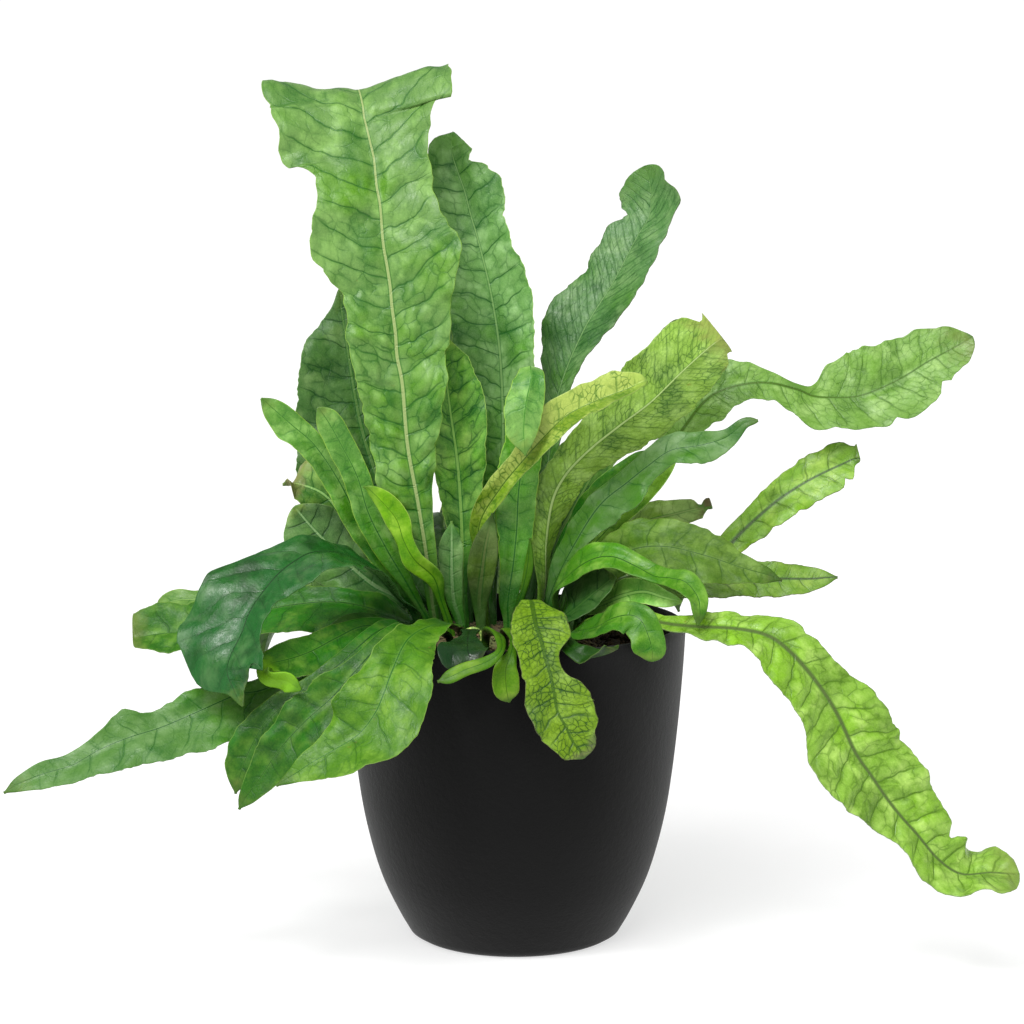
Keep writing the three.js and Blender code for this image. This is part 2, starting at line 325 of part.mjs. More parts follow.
    stations: [[-13, 52, 166, 3, 3], [-14, 59, 190, 3, 3], [-18, 86, 226, 10, 10],
      [-22, 122, 240, 18, 18], [-24, 158, 228, 24, 24], [-26, 188, 192, 22, 22],
      [-24, 206, 150, 14, 14], [-22, 210, 126, 1, 1]] },
  { name: 'frond_back_centre_left', finish: 'green', facing: 116, fold: 10, ruffle: 2, waves: 4,
    tip: 10, rings: 13,
    stations: [[-34, 49, 166, 3, 3], [-38, 55, 188, 3, 3], [-50, 82, 218, 10, 10],
      [-64, 112, 228, 18, 18], [-78, 140, 212, 21, 21], [-88, 160, 178, 18, 18],
      [-92, 170, 148, 10, 10], [-93, 172, 132, 1, 1]] },
  { name: 'frond_back_left_low', finish: 'green', facing: 145, fold: 10, ruffle: 1.5, waves: 4,
    tip: 10, rings: 12,
    stations: [[-44, 46, 166, 3, 3], [-52, 53, 186, 3, 3], [-80, 63, 208, 10, 10],
      [-108, 80, 212, 18, 18], [-134, 94, 196, 20, 20], [-152, 104, 166, 15, 15], [-160, 108, 140, 1, 1]] },
  { name: 'frond_back_young', finish: 'green', facing: 80, fold: 12, ruffle: 0.8, waves: 3, tip: 8,
    rings: 8, across: 2,
    stations: [[-3, 44, 166, 2.5, 2.5], [-2, 50, 190, 2.5, 2.5], [2, 64, 230, 7, 7],
      [8, 82, 262, 10, 10], [14, 98, 278, 8, 8], [18, 108, 280, 1, 1]] },
  { name: 'frond_back_upright', finish: 'green', facing: 105, fold: 10, ruffle: 1.5, waves: 4,
    tip: 10, rings: 11,
    stations: [[-27, 39, 166, 3, 3], [-28, 44, 190, 3, 3], [-32, 60, 240, 10, 10],
      [-38, 78, 292, 18, 18], [-46, 98, 334, 18, 18], [-54, 120, 352, 10, 10], [-58, 132, 350, 1, 1]] },
];

const wasm = await Module();
wasm.setup();

function toSolid(geometry) {
  const bare = geometry.clone();
  for (const name of Object.keys(bare.attributes)) {
    if (name !== 'position') bare.deleteAttribute(name);
  }
  const merged = mergeVertices(bare, 1e-5);
  return new wasm.Manifold(new wasm.Mesh({
    numProp: 3,
    vertProperties: new Float32Array(merged.attributes.position.array),
    triVerts: new Uint32Array(merged.index.array),
  }));
}

function toGeometry(solid) {
  const mesh = solid.getMesh();
  const geometry = new THREE.BufferGeometry();
  geometry.setAttribute('position', new THREE.BufferAttribute(mesh.vertProperties.slice(), 3));
  geometry.setIndex(new THREE.BufferAttribute(mesh.triVerts.slice(), 1));
  geometry.computeVertexNormals();
  return geometry;
}

// A closed body from rings with the same number of points, each ring joined to the next one.
function ringsToGeometry(rings) {
  const count = rings[0].length;
  const positions = rings.flat().flatMap((p) => [p.x, p.y, p.z]);
  const index = [];
  for (let k = 0; k + 1 < rings.length; k++) {
    for (let i = 0; i < count; i++) {
      const a = k * count + i;
      const b = k * count + (i + 1) % count;
      // Top and bottom faces of a blade split along the same diagonal.
      if (i < count / 2) index.push(a, b, b + count, a, b + count, a + count);
      else index.push(a, b, a + count, b, b + count, a + count);
    }
  }
  // The end caps are strips between the top and the bottom line.
  const half = count / 2;
  const last = (rings.length - 1) * count;
  for (let i = 0; i + 1 < half; i++) {
    const top = i;
    const bottom = count - 1 - i;
    index.push(top, bottom, top + 1, bottom, bottom - 1, top + 1);
    index.push(last + top, last + top + 1, last + bottom, last + bottom, last + top + 1, last + bottom - 1);
  }
  const geometry = new THREE.BufferGeometry();
  geometry.setAttribute('position', new THREE.BufferAttribute(new Float32Array(positions), 3));
  geometry.setIndex(index);
  geometry.computeVertexNormals();
  return geometry;
}

const smooth = (low, high, x) => THREE.MathUtils.smoothstep(x, low, high);
const radians = THREE.MathUtils.degToRad;

// One number of the stations, on a Catmull-Rom spline through all of them.
function splineValue(stations, column, t) {
  const last = stations.length - 1;
  const i = Math.min(Math.floor(t), last - 1);
  const f = t - i;
  const at = (k) => {
    if (k < 0) return 2 * stations[0][column] - stations[1][column];
    if (k > last) return 2 * stations[last][column] - stations[last - 1][column];
    return stations[k][column];
  };
  const [a, b, c, d] = [at(i - 1), at(i), at(i + 1), at(i + 2)];
  return b + 0.5 * f * (c - a + f * (2 * a - 5 * b + 4 * c - d + f * (3 * (b - c) + d - a)));
}

function pointAt(stations, t) {
  return new THREE.Vector3(...[0, 1, 2].map((column) => splineValue(stations, column, t)));
}

// Spline parameters at even steps of length, with closer steps over the rounded tip.
function ringParameters(stations, rings, tipLength) {
  const steps = (stations.length - 1) * SPLINE_SAMPLES;
  const lengths = [0];
  let previous = pointAt(stations, 0);
  for (let i = 1; i <= steps; i++) {
    const next = pointAt(stations, (i / steps) * (stations.length - 1));
    lengths.push(lengths[i - 1] + next.distanceTo(previous));
    previous = next;
  }
  const total = lengths[steps];
  const parameterAt = (length) => {
    let i = 1;
    while (i < steps && lengths[i] < length) i++;
    const f = (length - lengths[i - 1]) / (lengths[i] - lengths[i - 1]);
    return ((i - 1 + Math.min(Math.max(f, 0), 1)) / steps) * (stations.length - 1);
  };
  const marks = [];
  const body = rings - 2;
  for (let k = 0; k <= body; k++) marks.push(((total - tipLength) * k) / body);
  marks.push(total - tipLength * (1 - Math.sin(radians(TIP_ANGLE))), total);
  return marks.map((length) => ({ t: parameterAt(length), length, total }));
}

// Half widths, thicknesses and directions of a frond's cross-section at one place.
function sectionAt(row, mark) {
  const { stations, facing, twist, fold, ruffle, waves, tip } = row;
  const { t, length, total } = mark;
  const last = stations.length - 1;
  const ahead = pointAt(stations, Math.min(t + TANGENT_STEP, last));
  const tangent = ahead.sub(pointAt(stations, Math.max(t - TANGENT_STEP, 0))).normalize();
  const side = new THREE.Vector3(Math.sin(radians(facing)), -Math.cos(radians(facing)), 0);
  side.addScaledVector(tangent, -side.dot(tangent)).normalize();
  const roll = stations[0].length > 5 ? splineValue(stations, 5, t) : 0;
  const twisted = THREE.MathUtils.clamp((t - TWIST_START) / TWIST_STATIONS, 0, 1);
  side.applyAxisAngle(tangent, radians(roll + twist * twisted));
  const normal = side.clone().cross(tangent);
  const left = total - length;
  const rounding = left < tip ? Math.sqrt(Math.max(0, 1 - ((tip - left) / tip) ** 2)) : 1;
  const widths = [3, 4].map((column) => Math.max(splineValue(stations, column, t) * rounding, TIP_WIDTH));
  return { centre: pointAt(stations, t), tangent, side, normal, widths, fold, ruffle, waves,
    share: length / total };
}

// The ring of points round a section: the upper line from left to right, then the lower one back.
function sectionRing(section, across, grow) {
  const { centre, side, normal, widths, fold, ruffle, waves, share } = section;
  const upper = [];
  const lower = [];
  const thin = 1 - MIDRIB_THINNING * share;
  for (let i = 0; i <= across; i++) {
    const u = (2 * i) / across - 1;
    const width = u < 0 ? widths[0] : widths[1];
    const blade = smooth(STALK_WIDTH, BLADE_WIDTH, width);
    const wave = ruffle * Math.min(1, width / FULL_WAVE_WIDTH) * blade * u * u
      * Math.sin(2 * Math.PI * waves * share + (u < 0 ? LEFT_WAVE_PHASE : RIGHT_WAVE_PHASE));
    const lift = Math.abs(u) * width * Math.sin(radians(fold)) + wave;
    const reach = u * (width * Math.cos(radians(fold)) + grow);
    const centreHalf = THREE.MathUtils.lerp(STALK_HALF, MIDRIB_HALF, blade) * thin;
    const [round, flat] = Math.abs(u) < 1 ? [STALK_SHOULDER, BLADE_HALF] : [STALK_EDGE, MARGIN_HALF];
    const flatness = smooth(STALK_WIDTH - 1, BLADE_WIDTH, width);
    const sideHalf = THREE.MathUtils.lerp(STALK_HALF * round, flat, flatness);
    const half = u === 0 ? Math.max(centreHalf, BLADE_HALF) : sideHalf;
    const middle = centre.clone().addScaledVector(side, reach).addScaledVector(normal, lift);
    upper.push(middle.clone().addScaledVector(normal, half + grow));
    lower.unshift(middle.clone().addScaledVector(normal, -half - grow));
  }
  return [...upper, ...lower];
}

function frondGeometry(row) {
  const marks = ringParameters(row.stations, row.rings, row.tip);
  return ringsToGeometry(marks.map((mark) => sectionRing(sectionAt(row, mark), row.across, 0)));
}

// The plain six-sided hole that a frond's stalk stands in.
function socketGeometry(row) {
  const marks = ringParameters(row.stations, row.rings, row.tip);
  const rings = [];
  for (const mark of marks) {
    const section = sectionAt(row, mark);
    if (rings.length === 0) section.centre.addScaledVector(section.tangent, -SOCKET_GROW);
    rings.push(sectionRing(section, 2, SOCKET_GROW));
    if (section.centre.z > SOCKET_TOP || rings.length > SOCKET_RINGS) break;
  }
  return ringsToGeometry(rings);
}

function potOutline() {
  // Outer wall from the base to under the lip: [radius, height]
  const wall = [[62.5, 2.5], [69, 14], [77.5, 32], [83.5, 50], [89.2, 74], [93, 99], [96.2, 128],
    [98.8, 160]];
  const outer = [[0, 0], [POT_BASE_RADIUS, 0], ...wall, [POT_RADIUS, POT_HEIGHT - LIP_HEIGHT]];
  const lip = [[POT_RADIUS - 1, POT_HEIGHT - 1.2], [POT_RADIUS - POT_WALL / 2, POT_HEIGHT],
    [POT_RADIUS - POT_WALL + 0.8, POT_HEIGHT - 1.2]];
  const inner = [[POT_RADIUS - POT_WALL, POT_HEIGHT - LIP_HEIGHT], ...insideWall()];
  return [...outer, ...lip, ...inner, [0, POT_FLOOR]].map(([r, z]) => new THREE.Vector2(r, z));
}

function insideWall() {
  return [[93.8, 160], [86.8, 99], [76, 50], [66, 24], [58, POT_FLOOR]];
}

function lathe(points) {
  const geometry = new THREE.LatheGeometry(points, TURNS);
  geometry.rotateX(Math.PI / 2);
  return toGeometry(toSolid(geometry));
}

function mixSolid() {
  const wall = insideWall().map(([r, z]) => [r - CLEARANCE, z]);
  wall[wall.length - 1][1] += CLEARANCE;
  const shoulder = [wall[0][0] + (MIX_TOP - wall[0][1]) * WALL_SLOPE, MIX_TOP];
  const outline = [[0, POT_FLOOR + CLEARANCE], ...wall.reverse(), shoulder,
    [MIX_CROWN_RADIUS, MIX_TOP + MIX_CROWN], [0, MIX_TOP + MIX_CROWN]];
  return toSolid(lathe(outline.map(([r, z]) => new THREE.Vector2(r, z))));
}

// The rhizome is a low lumpy mound: rings of points that narrow towards its top.
function rhizomeSolid(grow) {
  const { x, y, halfWidth, halfDepth, bottom, edge, top } = RHIZOME;
  // Levels from the bottom up: [share of the half width, height]
  const levels = [[0.94, bottom - grow], [1, edge], [0.86, edge + 5.5], [0.55, top], [0.2, top + 1]];
  const positions = [];
  for (const [scale, height] of levels) {
    for (let i = 0; i < RHIZOME_SIDES; i++) {
      const angle = (2 * Math.PI * i) / RHIZOME_SIDES;
      const lump = 1 + BIG_LUMP * Math.sin(5 * angle + 1) + SMALL_LUMP * Math.sin(9 * angle);
      const bump = height > edge ? TOP_BUMP * Math.sin(4 * angle + 7 * scale) : 0;
      positions.push(x + (halfWidth * scale * lump + grow) * Math.cos(angle),
        y + (halfDepth * scale * lump + grow) * Math.sin(angle), height + bump);
    }
  }
  const index = [];
  for (let k = 0; k + 1 < levels.length; k++) {
    for (let i = 0; i < RHIZOME_SIDES; i++) {
      const a = k * RHIZOME_SIDES + i;
      const b = k * RHIZOME_SIDES + (i + 1) % RHIZOME_SIDES;
      index.push(a, b, b + RHIZOME_SIDES, a, b + RHIZOME_SIDES, a + RHIZOME_SIDES);
    }
  }
  const last = (levels.length - 1) * RHIZOME_SIDES;
  positions.push(x, y, bottom - grow, x, y, top + 1);
  const low = positions.length / 3 - 2;
  for (let i = 0; i < RHIZOME_SIDES; i++) {
    const next = (i + 1) % RHIZOME_SIDES;
    index.push(low, next, i, low + 1, last + i, last + next);
  }
  const geometry = new THREE.BufferGeometry();
  geometry.setAttribute('position', new THREE.BufferAttribute(new Float32Array(positions), 3));
  geometry.setIndex(index);
  return toSolid(geometry);
}

// A short stem that ends in a flat watch-spring coil.
class CrozierCurve extends THREE.Curve {
  constructor(grow) {
    super();
    this.grow = grow;
  }

  getPoint(t, target = new THREE.Vector3()) {
    const { x, y, bottom, stem, coil, turns, straight, tightening, lean } = CROZIER;
    if (t < straight) return target.set(x, y, bottom - this.grow + ((stem + this.grow) * t) / straight);
    const f = (t - straight) / (1 - straight);
    const angle = 2 * Math.PI * turns * f;
    const radius = coil * (1 - tightening * f);
    const height = bottom + stem + radius * Math.sin(angle);
    return target.set(x + coil - radius * Math.cos(angle), y - lean * f, height);
  }
}

function crozierGeometry(grow) {
  const section = new THREE.Shape().absarc(0, 0, CROZIER.thickness + grow, 0, 2 * Math.PI);
  return new THREE.ExtrudeGeometry(section, {
    steps: 26, curveSegments: 4, extrudePath: new CrozierCurve(grow), bevelEnabled: false });
}

const fern = new THREE.Group();

function place(name, geometry, finish) {
  const mesh = new THREE.Mesh(geometry, new THREE.MeshStandardMaterial(FINISH[finish]));
  mesh.name = name;
  fern.add(mesh);
}

const fronds = FRONDS.map((row) => ({ ...DEFAULTS, ...row }));
let rhizome = rhizomeSolid(0);
for (const row of fronds) {
  rhizome = rhizome.subtract(toSolid(socketGeometry(row)));
}
rhizome = rhizome.subtract(toSolid(crozierGeometry(CLEARANCE)));

place('planter', lathe(potOutline()), 'pot');
place('potting_mix', toGeometry(mixSolid().subtract(rhizomeSolid(CLEARANCE))), 'mix');
place('rhizome', toGeometry(rhizome), 'rhizome');
place('crozier', crozierGeometry(0), 'olive');
for (const row of fronds) {
  place(row.name, frondGeometry(row), row.finish);
}

export default fern;
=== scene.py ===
"""A potted crocodile fern: detailed fronds, pot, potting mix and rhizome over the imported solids.

Lengths in the tables are millimetres, as in the part's own source. Blender works in metres.
"""

import math

import bpy
import numpy as np
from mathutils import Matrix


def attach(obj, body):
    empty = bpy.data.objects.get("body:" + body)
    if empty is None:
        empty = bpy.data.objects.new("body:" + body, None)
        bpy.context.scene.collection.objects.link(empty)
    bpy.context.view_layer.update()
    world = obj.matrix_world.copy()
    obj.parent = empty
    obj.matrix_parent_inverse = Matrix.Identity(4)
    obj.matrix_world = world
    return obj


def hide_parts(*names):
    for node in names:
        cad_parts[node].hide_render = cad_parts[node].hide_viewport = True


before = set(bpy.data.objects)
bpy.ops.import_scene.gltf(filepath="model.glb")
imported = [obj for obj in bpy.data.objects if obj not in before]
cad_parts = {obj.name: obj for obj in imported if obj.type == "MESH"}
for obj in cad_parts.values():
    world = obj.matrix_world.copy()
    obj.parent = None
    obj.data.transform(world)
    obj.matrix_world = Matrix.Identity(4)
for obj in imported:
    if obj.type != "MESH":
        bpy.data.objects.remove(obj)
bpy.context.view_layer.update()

MM = 0.001
SEED = 7

# Camera: sensor and lens in millimetres, place in metres, pitch in degrees below level
SENSOR_WIDTH = 36.0
LENS = 94.3
CAMERA_PLACE = (-0.0017, -1.551, 0.459)
CAMERA_PITCH = 7.67

# Floor and light: sizes and places in metres, turns and spread in degrees
FLOOR_SIZE = 30
FLOOR_GREY = 0.42
FLOOR_GLOW = 0.63
SKY_STRENGTH = 1.05
SKY_TOP = 0.5
KEY_ENERGY = 2.7
KEY_SPREAD = 52
KEY_TURN = (38, 0, -30)
GLINT_ENERGY = 16
GLINT_SIZE = 0.5
GLINT_PLACE = (-0.7, -1.1, 1.9)
GLINT_TURN = (38, 0, -32)

# Pot: outline as [radius, height]
POT_HEIGHT = 186
POT_RADIUS = 100
POT_WALL = 5
POT_FLOOR = 10
LIP_HEIGHT = 5
OUTER_WALL = [[58, 0], [62.5, 2.5], [69, 14], [77.5, 32], [83.5, 50], [89.2, 74], [93, 99], [96.2, 128],
    [98.8, 160], [100, 181]]
INNER_WALL = [[95, 181], [93.8, 160], [86.8, 99], [76, 50], [66, 24], [58, 10]]
POT_TURNS = 160

# Potting mix and rhizome
MIX_TOP = 167
MIX_CROWN = 3
MIX_CROWN_RADIUS = 60
MIX_RADIUS = 93.5
MIX_DEPTH = 14
MIX_TURNS = 150
MIX_RINGS = 62
CRUMB_COUNT = 420
CRUMB_REACH = 90
CRUMB_SIZES = (1.4, 3.6)
RHIZOME = {"x": -14, "y": 7, "half_width": 62, "half_depth": 53, "bottom": 158, "edge": 170, "top": 178}
MOUND_SHARES = [0, 0.25, 0.5, 0.8, 1]
MOUND_SPREAD = [0.94, 1, 0.86, 0.55, 0.02]
MOUND_TURNS = 140
MOUND_RINGS = 46
SCALE_COUNT = 900
SCALE_LENGTHS = (3.0, 5.5)
SCALE_WIDTHS = (0.8, 1.5)

# Fronds: half thicknesses and the widths at which a stalk turns into a blade
STALK_HALF = 2.0
MIDRIB_HALF = 1.3
BLADE_HALF = 0.42
MARGIN_HALF = 0.26
TIP_WIDTH = 0.8
STALK_WIDTH = 4
BLADE_WIDTH = 9
MIDRIB_THINNING = 0.5
TWIST_START = 1
TWIST_STATIONS = 3
SPLINE_SAMPLES = 12
GUIDE_SAMPLES = 30
TANGENT_STEP = 0.05
LEFT_WAVE_PHASE = 0.6
RIGHT_WAVE_PHASE = 2.9
FULL_WAVE_WIDTH = 15

# Uneven margins: the range of wave lengths, the height, and the half widths between which they set in
LOBE_WAVES = (26, 60)
LOBE_DEPTH = 2.0
RAG_WAVES = (4, 12)
RAG_DEPTH = 0.55
RAG_WIDTHS = (6, 14)
CRIMP_WAVES = (14, 34)
CRIMP_HEIGHT = 1.5

# Mesh density of a frond
RING_STEP = 1.7
COLUMN_STEP = 1.7
RIB_COLUMNS = [0, 0.8, 1.6, 2.6]
MARGIN_STRIP = 0.6
MAX_COLUMNS = 34

# Furled young frond
CROZIER = {"x": -30, "y": -20, "bottom": 166, "stem": 13, "coil": 6.2, "thickness": 1.3, "turns": 1.25,
    "straight": 0.4, "tightening": 0.65, "lean": 1.5}

# Each frond as in the part's source. A station is [x, y, z, half width left, half width right], seen from
# the upper face with the tip up, with a roll in degrees as a sixth number where the blade turns on itself.
# facing is the direction in degrees in which the frond leans, twist turns the blade about its midrib and
# fold raises its halves. ruffle and waves are the height and number of the margin's waves, and tip is the
# length of the rounded end. gain makes the colours brighter or darker: partly a frond's own tone, partly
# painted light on fronds that lie in shade, and painted shade on fronds such as front_dark and under_rim.
# A notch is (-1 left or 1 right, distance from the tip, half breadth, depth).
FRONDS = [
    dict(name="tall_front", look="quilted", facing=90, fold=10, ruffle=2.5, waves=5, tip=6,
        stations=[[-43, -2, 166, 3, 3, 0], [-44, -3, 184, 3, 3, 0], [-47, -6, 190, 3, 3, 0],
        [-51, -9, 223, 6, 6, 0], [-56, -10, 256, 19.5, 8.5, 0], [-62, -9, 290, 21, 17.5, 0],
        [-65, -6, 325, 26.5, 26.5, 0], [-68, -4, 341, 27, 29.5, 0], [-69, -3, 355, 29, 33.5, 0],
        [-71, -1, 370, 26.5, 36, 0], [-72, 1, 381, 29, 40, 0], [-74, 3, 394, 36, 45, 0],
        [-76, 5, 405, 42, 44, 0], [-77, 8, 416, 41, 37.5, 0], [-78, 10, 428, 38.5, 33.5, 0],
        [-80, 14, 438, 36, 33, 0], [-81, 17, 447, 37, 32.5, 0], [-82, 20, 455, 48.5, 33, 0],
        [-84, 23, 463, 53.5, 35.5, 0], [-86, 26, 471, 52, 39.5, 0], [-88, 31, 478, 52.5, 49, 0],
        [-89, 36, 485, 53.5, 54, -5], [-92, 50, 494, 56.5, 54, -7], [-94, 74, 490, 52, 29, -7],
        [-96, 92, 476, 48.5, 16, -7], [-96, 97, 461, 42.5, 12, -7]]),
    dict(name="second_centre", look="deep", facing=90, fold=12, ruffle=1.5, waves=4, tip=18, gain=2.3,
        stations=[[-30, 14, 166, 3, 3], [-30, 14, 184, 3, 3], [-31, 15, 202, 3, 3],
        [-31, 16, 225, 5.5, 5.5], [-32, 17, 252, 12, 12], [-34, 18, 279, 15.5, 17.5],
        [-38, 20, 308, 15.5, 22.5], [-41, 23, 334, 13, 15.5], [-42, 26, 352, 3.5, 4.5]]),
    dict(name="tall_right", look="quilted_deep", facing=85, fold=12, ruffle=2, waves=5, tip=6, gain=1.6,
        notches=[(1, 22, 5, 5), (1, 34, 3, 3)],
        stations=[[-13, 26, 166, 3, 3], [-14, 26, 184, 3, 3], [-16, 28, 199, 3, 3], [-11, 31, 235, 5, 5.5],
        [-8, 35, 271, 14.5, 12], [-7, 39, 300, 24, 18], [-9, 44, 341, 27.5, 22.5],
        [-14, 49, 374, 27.5, 24.5], [-21, 55, 403, 25, 19], [-26, 60, 420, 22.5, 21],
        [-30, 64, 435, 20.5, 24], [-34, 68, 446, 19, 15.5], [-37, 72, 455, 16, 13],
        [-38, 76, 463, 11.5, 8.5], [-37, 79, 470, 3, 3.5]]),
    dict(name="right_upright", look="fine_deep", facing=60, fold=12, ruffle=2, waves=5, tip=6,
        notches=[(-1, 36, 9, 5), (1, 12, 4, 3)],
        stations=[[1, 33, 166, 3, 3], [3, 34, 184, 3, 3], [10, 36, 198, 3.5, 3.5], [18, 43, 246, 5.5, 5.5],
        [22, 50, 287, 9.5, 7.5], [28, 57, 319, 14, 9], [42, 64, 352, 26.5, 16], [59, 71, 379, 21.5, 23.5],
        [73, 78, 405, 19, 20], [81, 83, 418, 18, 18.5], [83, 86, 429, 21, 22], [82, 88, 440, 19, 15],
        [79, 90, 450, 12, 9.5]]),
    dict(name="back_left", look="shade", facing=95, fold=5, ruffle=2, waves=4, tip=10, gain=1.25,
        stations=[[-42, 37, 166, 3, 3], [-45, 38, 184, 3, 3], [-54, 42, 197, 3.5, 3.5],
        [-70, 56, 232, 12, 12], [-83, 66, 261, 48.5, 24.5], [-93, 72, 291, 40, 28], [-99, 78, 321, 34, 27],
        [-103, 84, 345, 26, 22], [-106, 89, 364, 6.5, 10], [-107, 92, 376, 2, 2]]),
    dict(name="left_olive", look="olive", facing=95, fold=10, ruffle=1, waves=3, tip=10, gain=1.8,
        stations=[[-62, 24, 166, 2.5, 2.5], [-62, 25, 184, 2.5, 2.5], [-64, 29, 193, 2.5, 2.5],
        [-86, 36, 215, 7, 6], [-102, 40, 240, 12, 13], [-114, 41, 255, 14.5, 15.5],
        [-129, 42, 261, 12, 14.5], [-139, 43, 261, 4, 4]]),
    dict(name="left_ribbed", look="grey", facing=160, twist=-65, fold=8, ruffle=1, waves=3, tip=10,
        gain=1.5,
        stations=[[-67, 16, 166, 3, 3], [-68, 17, 184, 3, 3], [-69, 19, 194, 4, 4], [-85, 21, 204, 10.5, 6],
        [-101, 23, 218, 20, 12], [-119, 25, 236, 20, 18], [-131, 26, 250, 9.5, 7]]),
    dict(name="dark_arch", look="dark", facing=215, twist=-20, fold=12, ruffle=2, waves=4, tip=8, gain=0.9,
        stations=[[-56, -7, 166, 3, 3], [-57, -8, 184, 3, 3], [-60, -9, 193, 8, 8],
        [-68, -13, 202, 10.5, 9.5], [-81, -22, 218, 12, 12], [-93, -31, 227, 14.5, 12],
        [-104, -40, 232, 34.5, 10.5], [-115, -50, 233, 39, 14.5], [-123, -58, 230, 31.5, 20.5],
        [-132, -67, 224, 26.5, 23], [-141, -77, 214, 16.5, 33.5], [-147, -84, 205, 16.5, 33.5],
        [-151, -91, 194, 16, 37.5], [-156, -98, 184, 25.5, 36], [-158, -101, 175, 26, 21],
        [-154, -104, 166, 14, 6], [-149, -107, 157, 2.5, 2.5]]),
    dict(name="left_long", look="grey_smooth", facing=200, twist=-48, fold=12, ruffle=1.5, waves=5, tip=8,
        stations=[[-60, -14, 166, 3, 3], [-63, -16, 178, 3, 3], [-71, -22, 185, 8, 8],
        [-93, -38, 191, 6.5, 6.5], [-111, -51, 179, 7.5, 6], [-127, -62, 165, 13.5, 8.5],
        [-142, -69, 158, 21.5, 7.5], [-157, -75, 156, 29, 7.5], [-178, -83, 148, 27.5, 13.5],
        [-197, -90, 141, 23.5, 10.5], [-213, -96, 137, 20, 15.5], [-229, -100, 131, 18.5, 8.5],
        [-244, -104, 123, 12.5, 7.5], [-259, -107, 119, 10, 7], [-272, -109, 114, 5.5, 4.5],
        [-281, -110, 109, 1, 1]]),
    dict(name="left_middle", look="rich", facing=190, twist=-42, fold=18, ruffle=1.5, waves=4, tip=2,
        stations=[[-67, 2, 166, 3, 3], [-66, 2, 176, 3, 3], [-62, 3, 182, 8, 8], [-79, 2, 190, 17.5, 12.5],
        [-96, 1, 195, 23, 10], [-113, 2, 196, 28.5, 11], [-137, 4, 193, 26.5, 11], [-165, 7, 186, 22, 13.5],
        [-194, 10, 178, 20, 18], [-213, 12, 175, 13.5, 18], [-226, 12, 173, 10.5, 13.5]]),
    dict(name="left_arched_tip", look="pale", facing=180, twist=-40, fold=10, ruffle=1, waves=3, tip=6,
        stations=[[-54, 38, 166, 3, 3], [-58, 38, 178, 3, 3], [-69, 37, 186, 8, 8], [-90, 37, 194, 9, 9],
        [-108, 38, 198, 8, 8], [-135, 40, 197, 8, 8], [-165, 42, 197, 7, 7], [-190, 44, 191, 7.5, 6.5],
        [-203, 45, 190, 6.5, 7.5], [-211, 46, 187, 6, 7], [-216, 46, 181, 2, 2]]),
    dict(name="left_shaded", look="rich_curl", facing=205, twist=-50, fold=10, ruffle=0.6, waves=3, tip=7,
        gain=1.15,
        stations=[[-55, -26, 166, 3, 3], [-58, -29, 179, 3, 3], [-68, -38, 187, 8, 8],
        [-86, -52, 191, 8, 6.5], [-100, -63, 187, 10.5, 8.5], [-114, -73, 181, 15, 10.5],
        [-126, -81, 178, 13.5, 11.5], [-135, -88, 177, 7.5, 8], [-138, -97, 175, 4.5, 5],
        [-134, -105, 173, 5, 6], [-125, -109, 172, 6.5, 7.5], [-117, -111, 167, 3, 3.5]]),
    dict(name="left_lower_back", look="rich", facing=215, twist=-40, fold=10, ruffle=1, waves=3, tip=8,
        gain=0.9,
        stations=[[-46, -33, 166, 3, 3], [-49, -36, 180, 3, 3], [-65, -52, 190, 8, 8],
        [-77, -70, 191, 6, 6], [-95, -86, 178, 6, 6], [-112, -94, 165, 8, 6.5], [-124, -98, 158, 9.5, 8],
        [-137, -101, 147, 10.5, 10], [-145, -103, 134, 13, 13], [-150, -106, 122, 10, 10],
        [-153, -107, 112, 3.5, 4.5], [-154, -107, 108, 1, 1]]),
    dict(name="left_lower", look="rich", facing=228, twist=-30, fold=10, ruffle=1.5, waves=3, tip=8,
        gain=0.9,
        stations=[[-37, -36, 166, 3, 3], [-39, -39, 184, 3, 3], [-57, -66, 191, 8, 8],
        [-69, -85, 192, 6, 6.5], [-84, -99, 179, 10.5, 7], [-100, -107, 162, 14.5, 13],
        [-115, -111, 149, 15, 14], [-129, -114, 134, 14.5, 11.5], [-140, -117, 118, 9, 8],
        [-148, -118, 107, 4.5, 4], [-151, -119, 102, 1, 1]]),
    dict(name="front_left_broad", look="fresh_net", facing=240, twist=-18, fold=10, ruffle=2, waves=4,
        tip=8, gain=0.9,
        stations=[[-29, -27, 166, 3, 3], [-31, -31, 184, 3, 3], [-39, -50, 192, 8, 8],
        [-50, -74, 194, 13.5, 9.5], [-60, -92, 190, 18.5, 11], [-67, -108, 177, 24, 16.5],
        [-71, -117, 167, 27.5, 22], [-76, -122, 156, 27.5, 24], [-85, -126, 145, 24.5, 22],
        [-97, -130, 138, 20.5, 12.5], [-110, -133, 131, 12, 8], [-119, -134, 125, 5.5, 4.5],
        [-129, -135, 119, 1, 1]]),
    dict(name="front_centre_net", look="netted", facing=275, fold=8, ruffle=1.2, waves=4, tip=5,
        stations=[[4, -27, 166, 3, 3], [4, -31, 184, 3, 3], [5, -44, 197, 3, 3], [7, -58, 204, 5.5, 5.5],
        [9, -76, 209, 6.5, 6], [11, -98, 202, 17, 14.5], [14, -108, 194, 17, 16.5],
        [16, -115, 187, 8.5, 15.5], [19, -120, 177, 8, 15.5], [21, -124, 168, 17, 16],
        [23, -128, 158, 21, 16.5], [27, -131, 151, 19, 14.5], [31, -133, 143, 15, 12],
        [35, -134, 138, 11, 8.5], [37, -134, 134, 4.5, 4.5]]),
    dict(name="lime_left", look="lime", facing=215, twist=-45, fold=10, ruffle=0.5, waves=2, tip=6,
        gain=0.8,
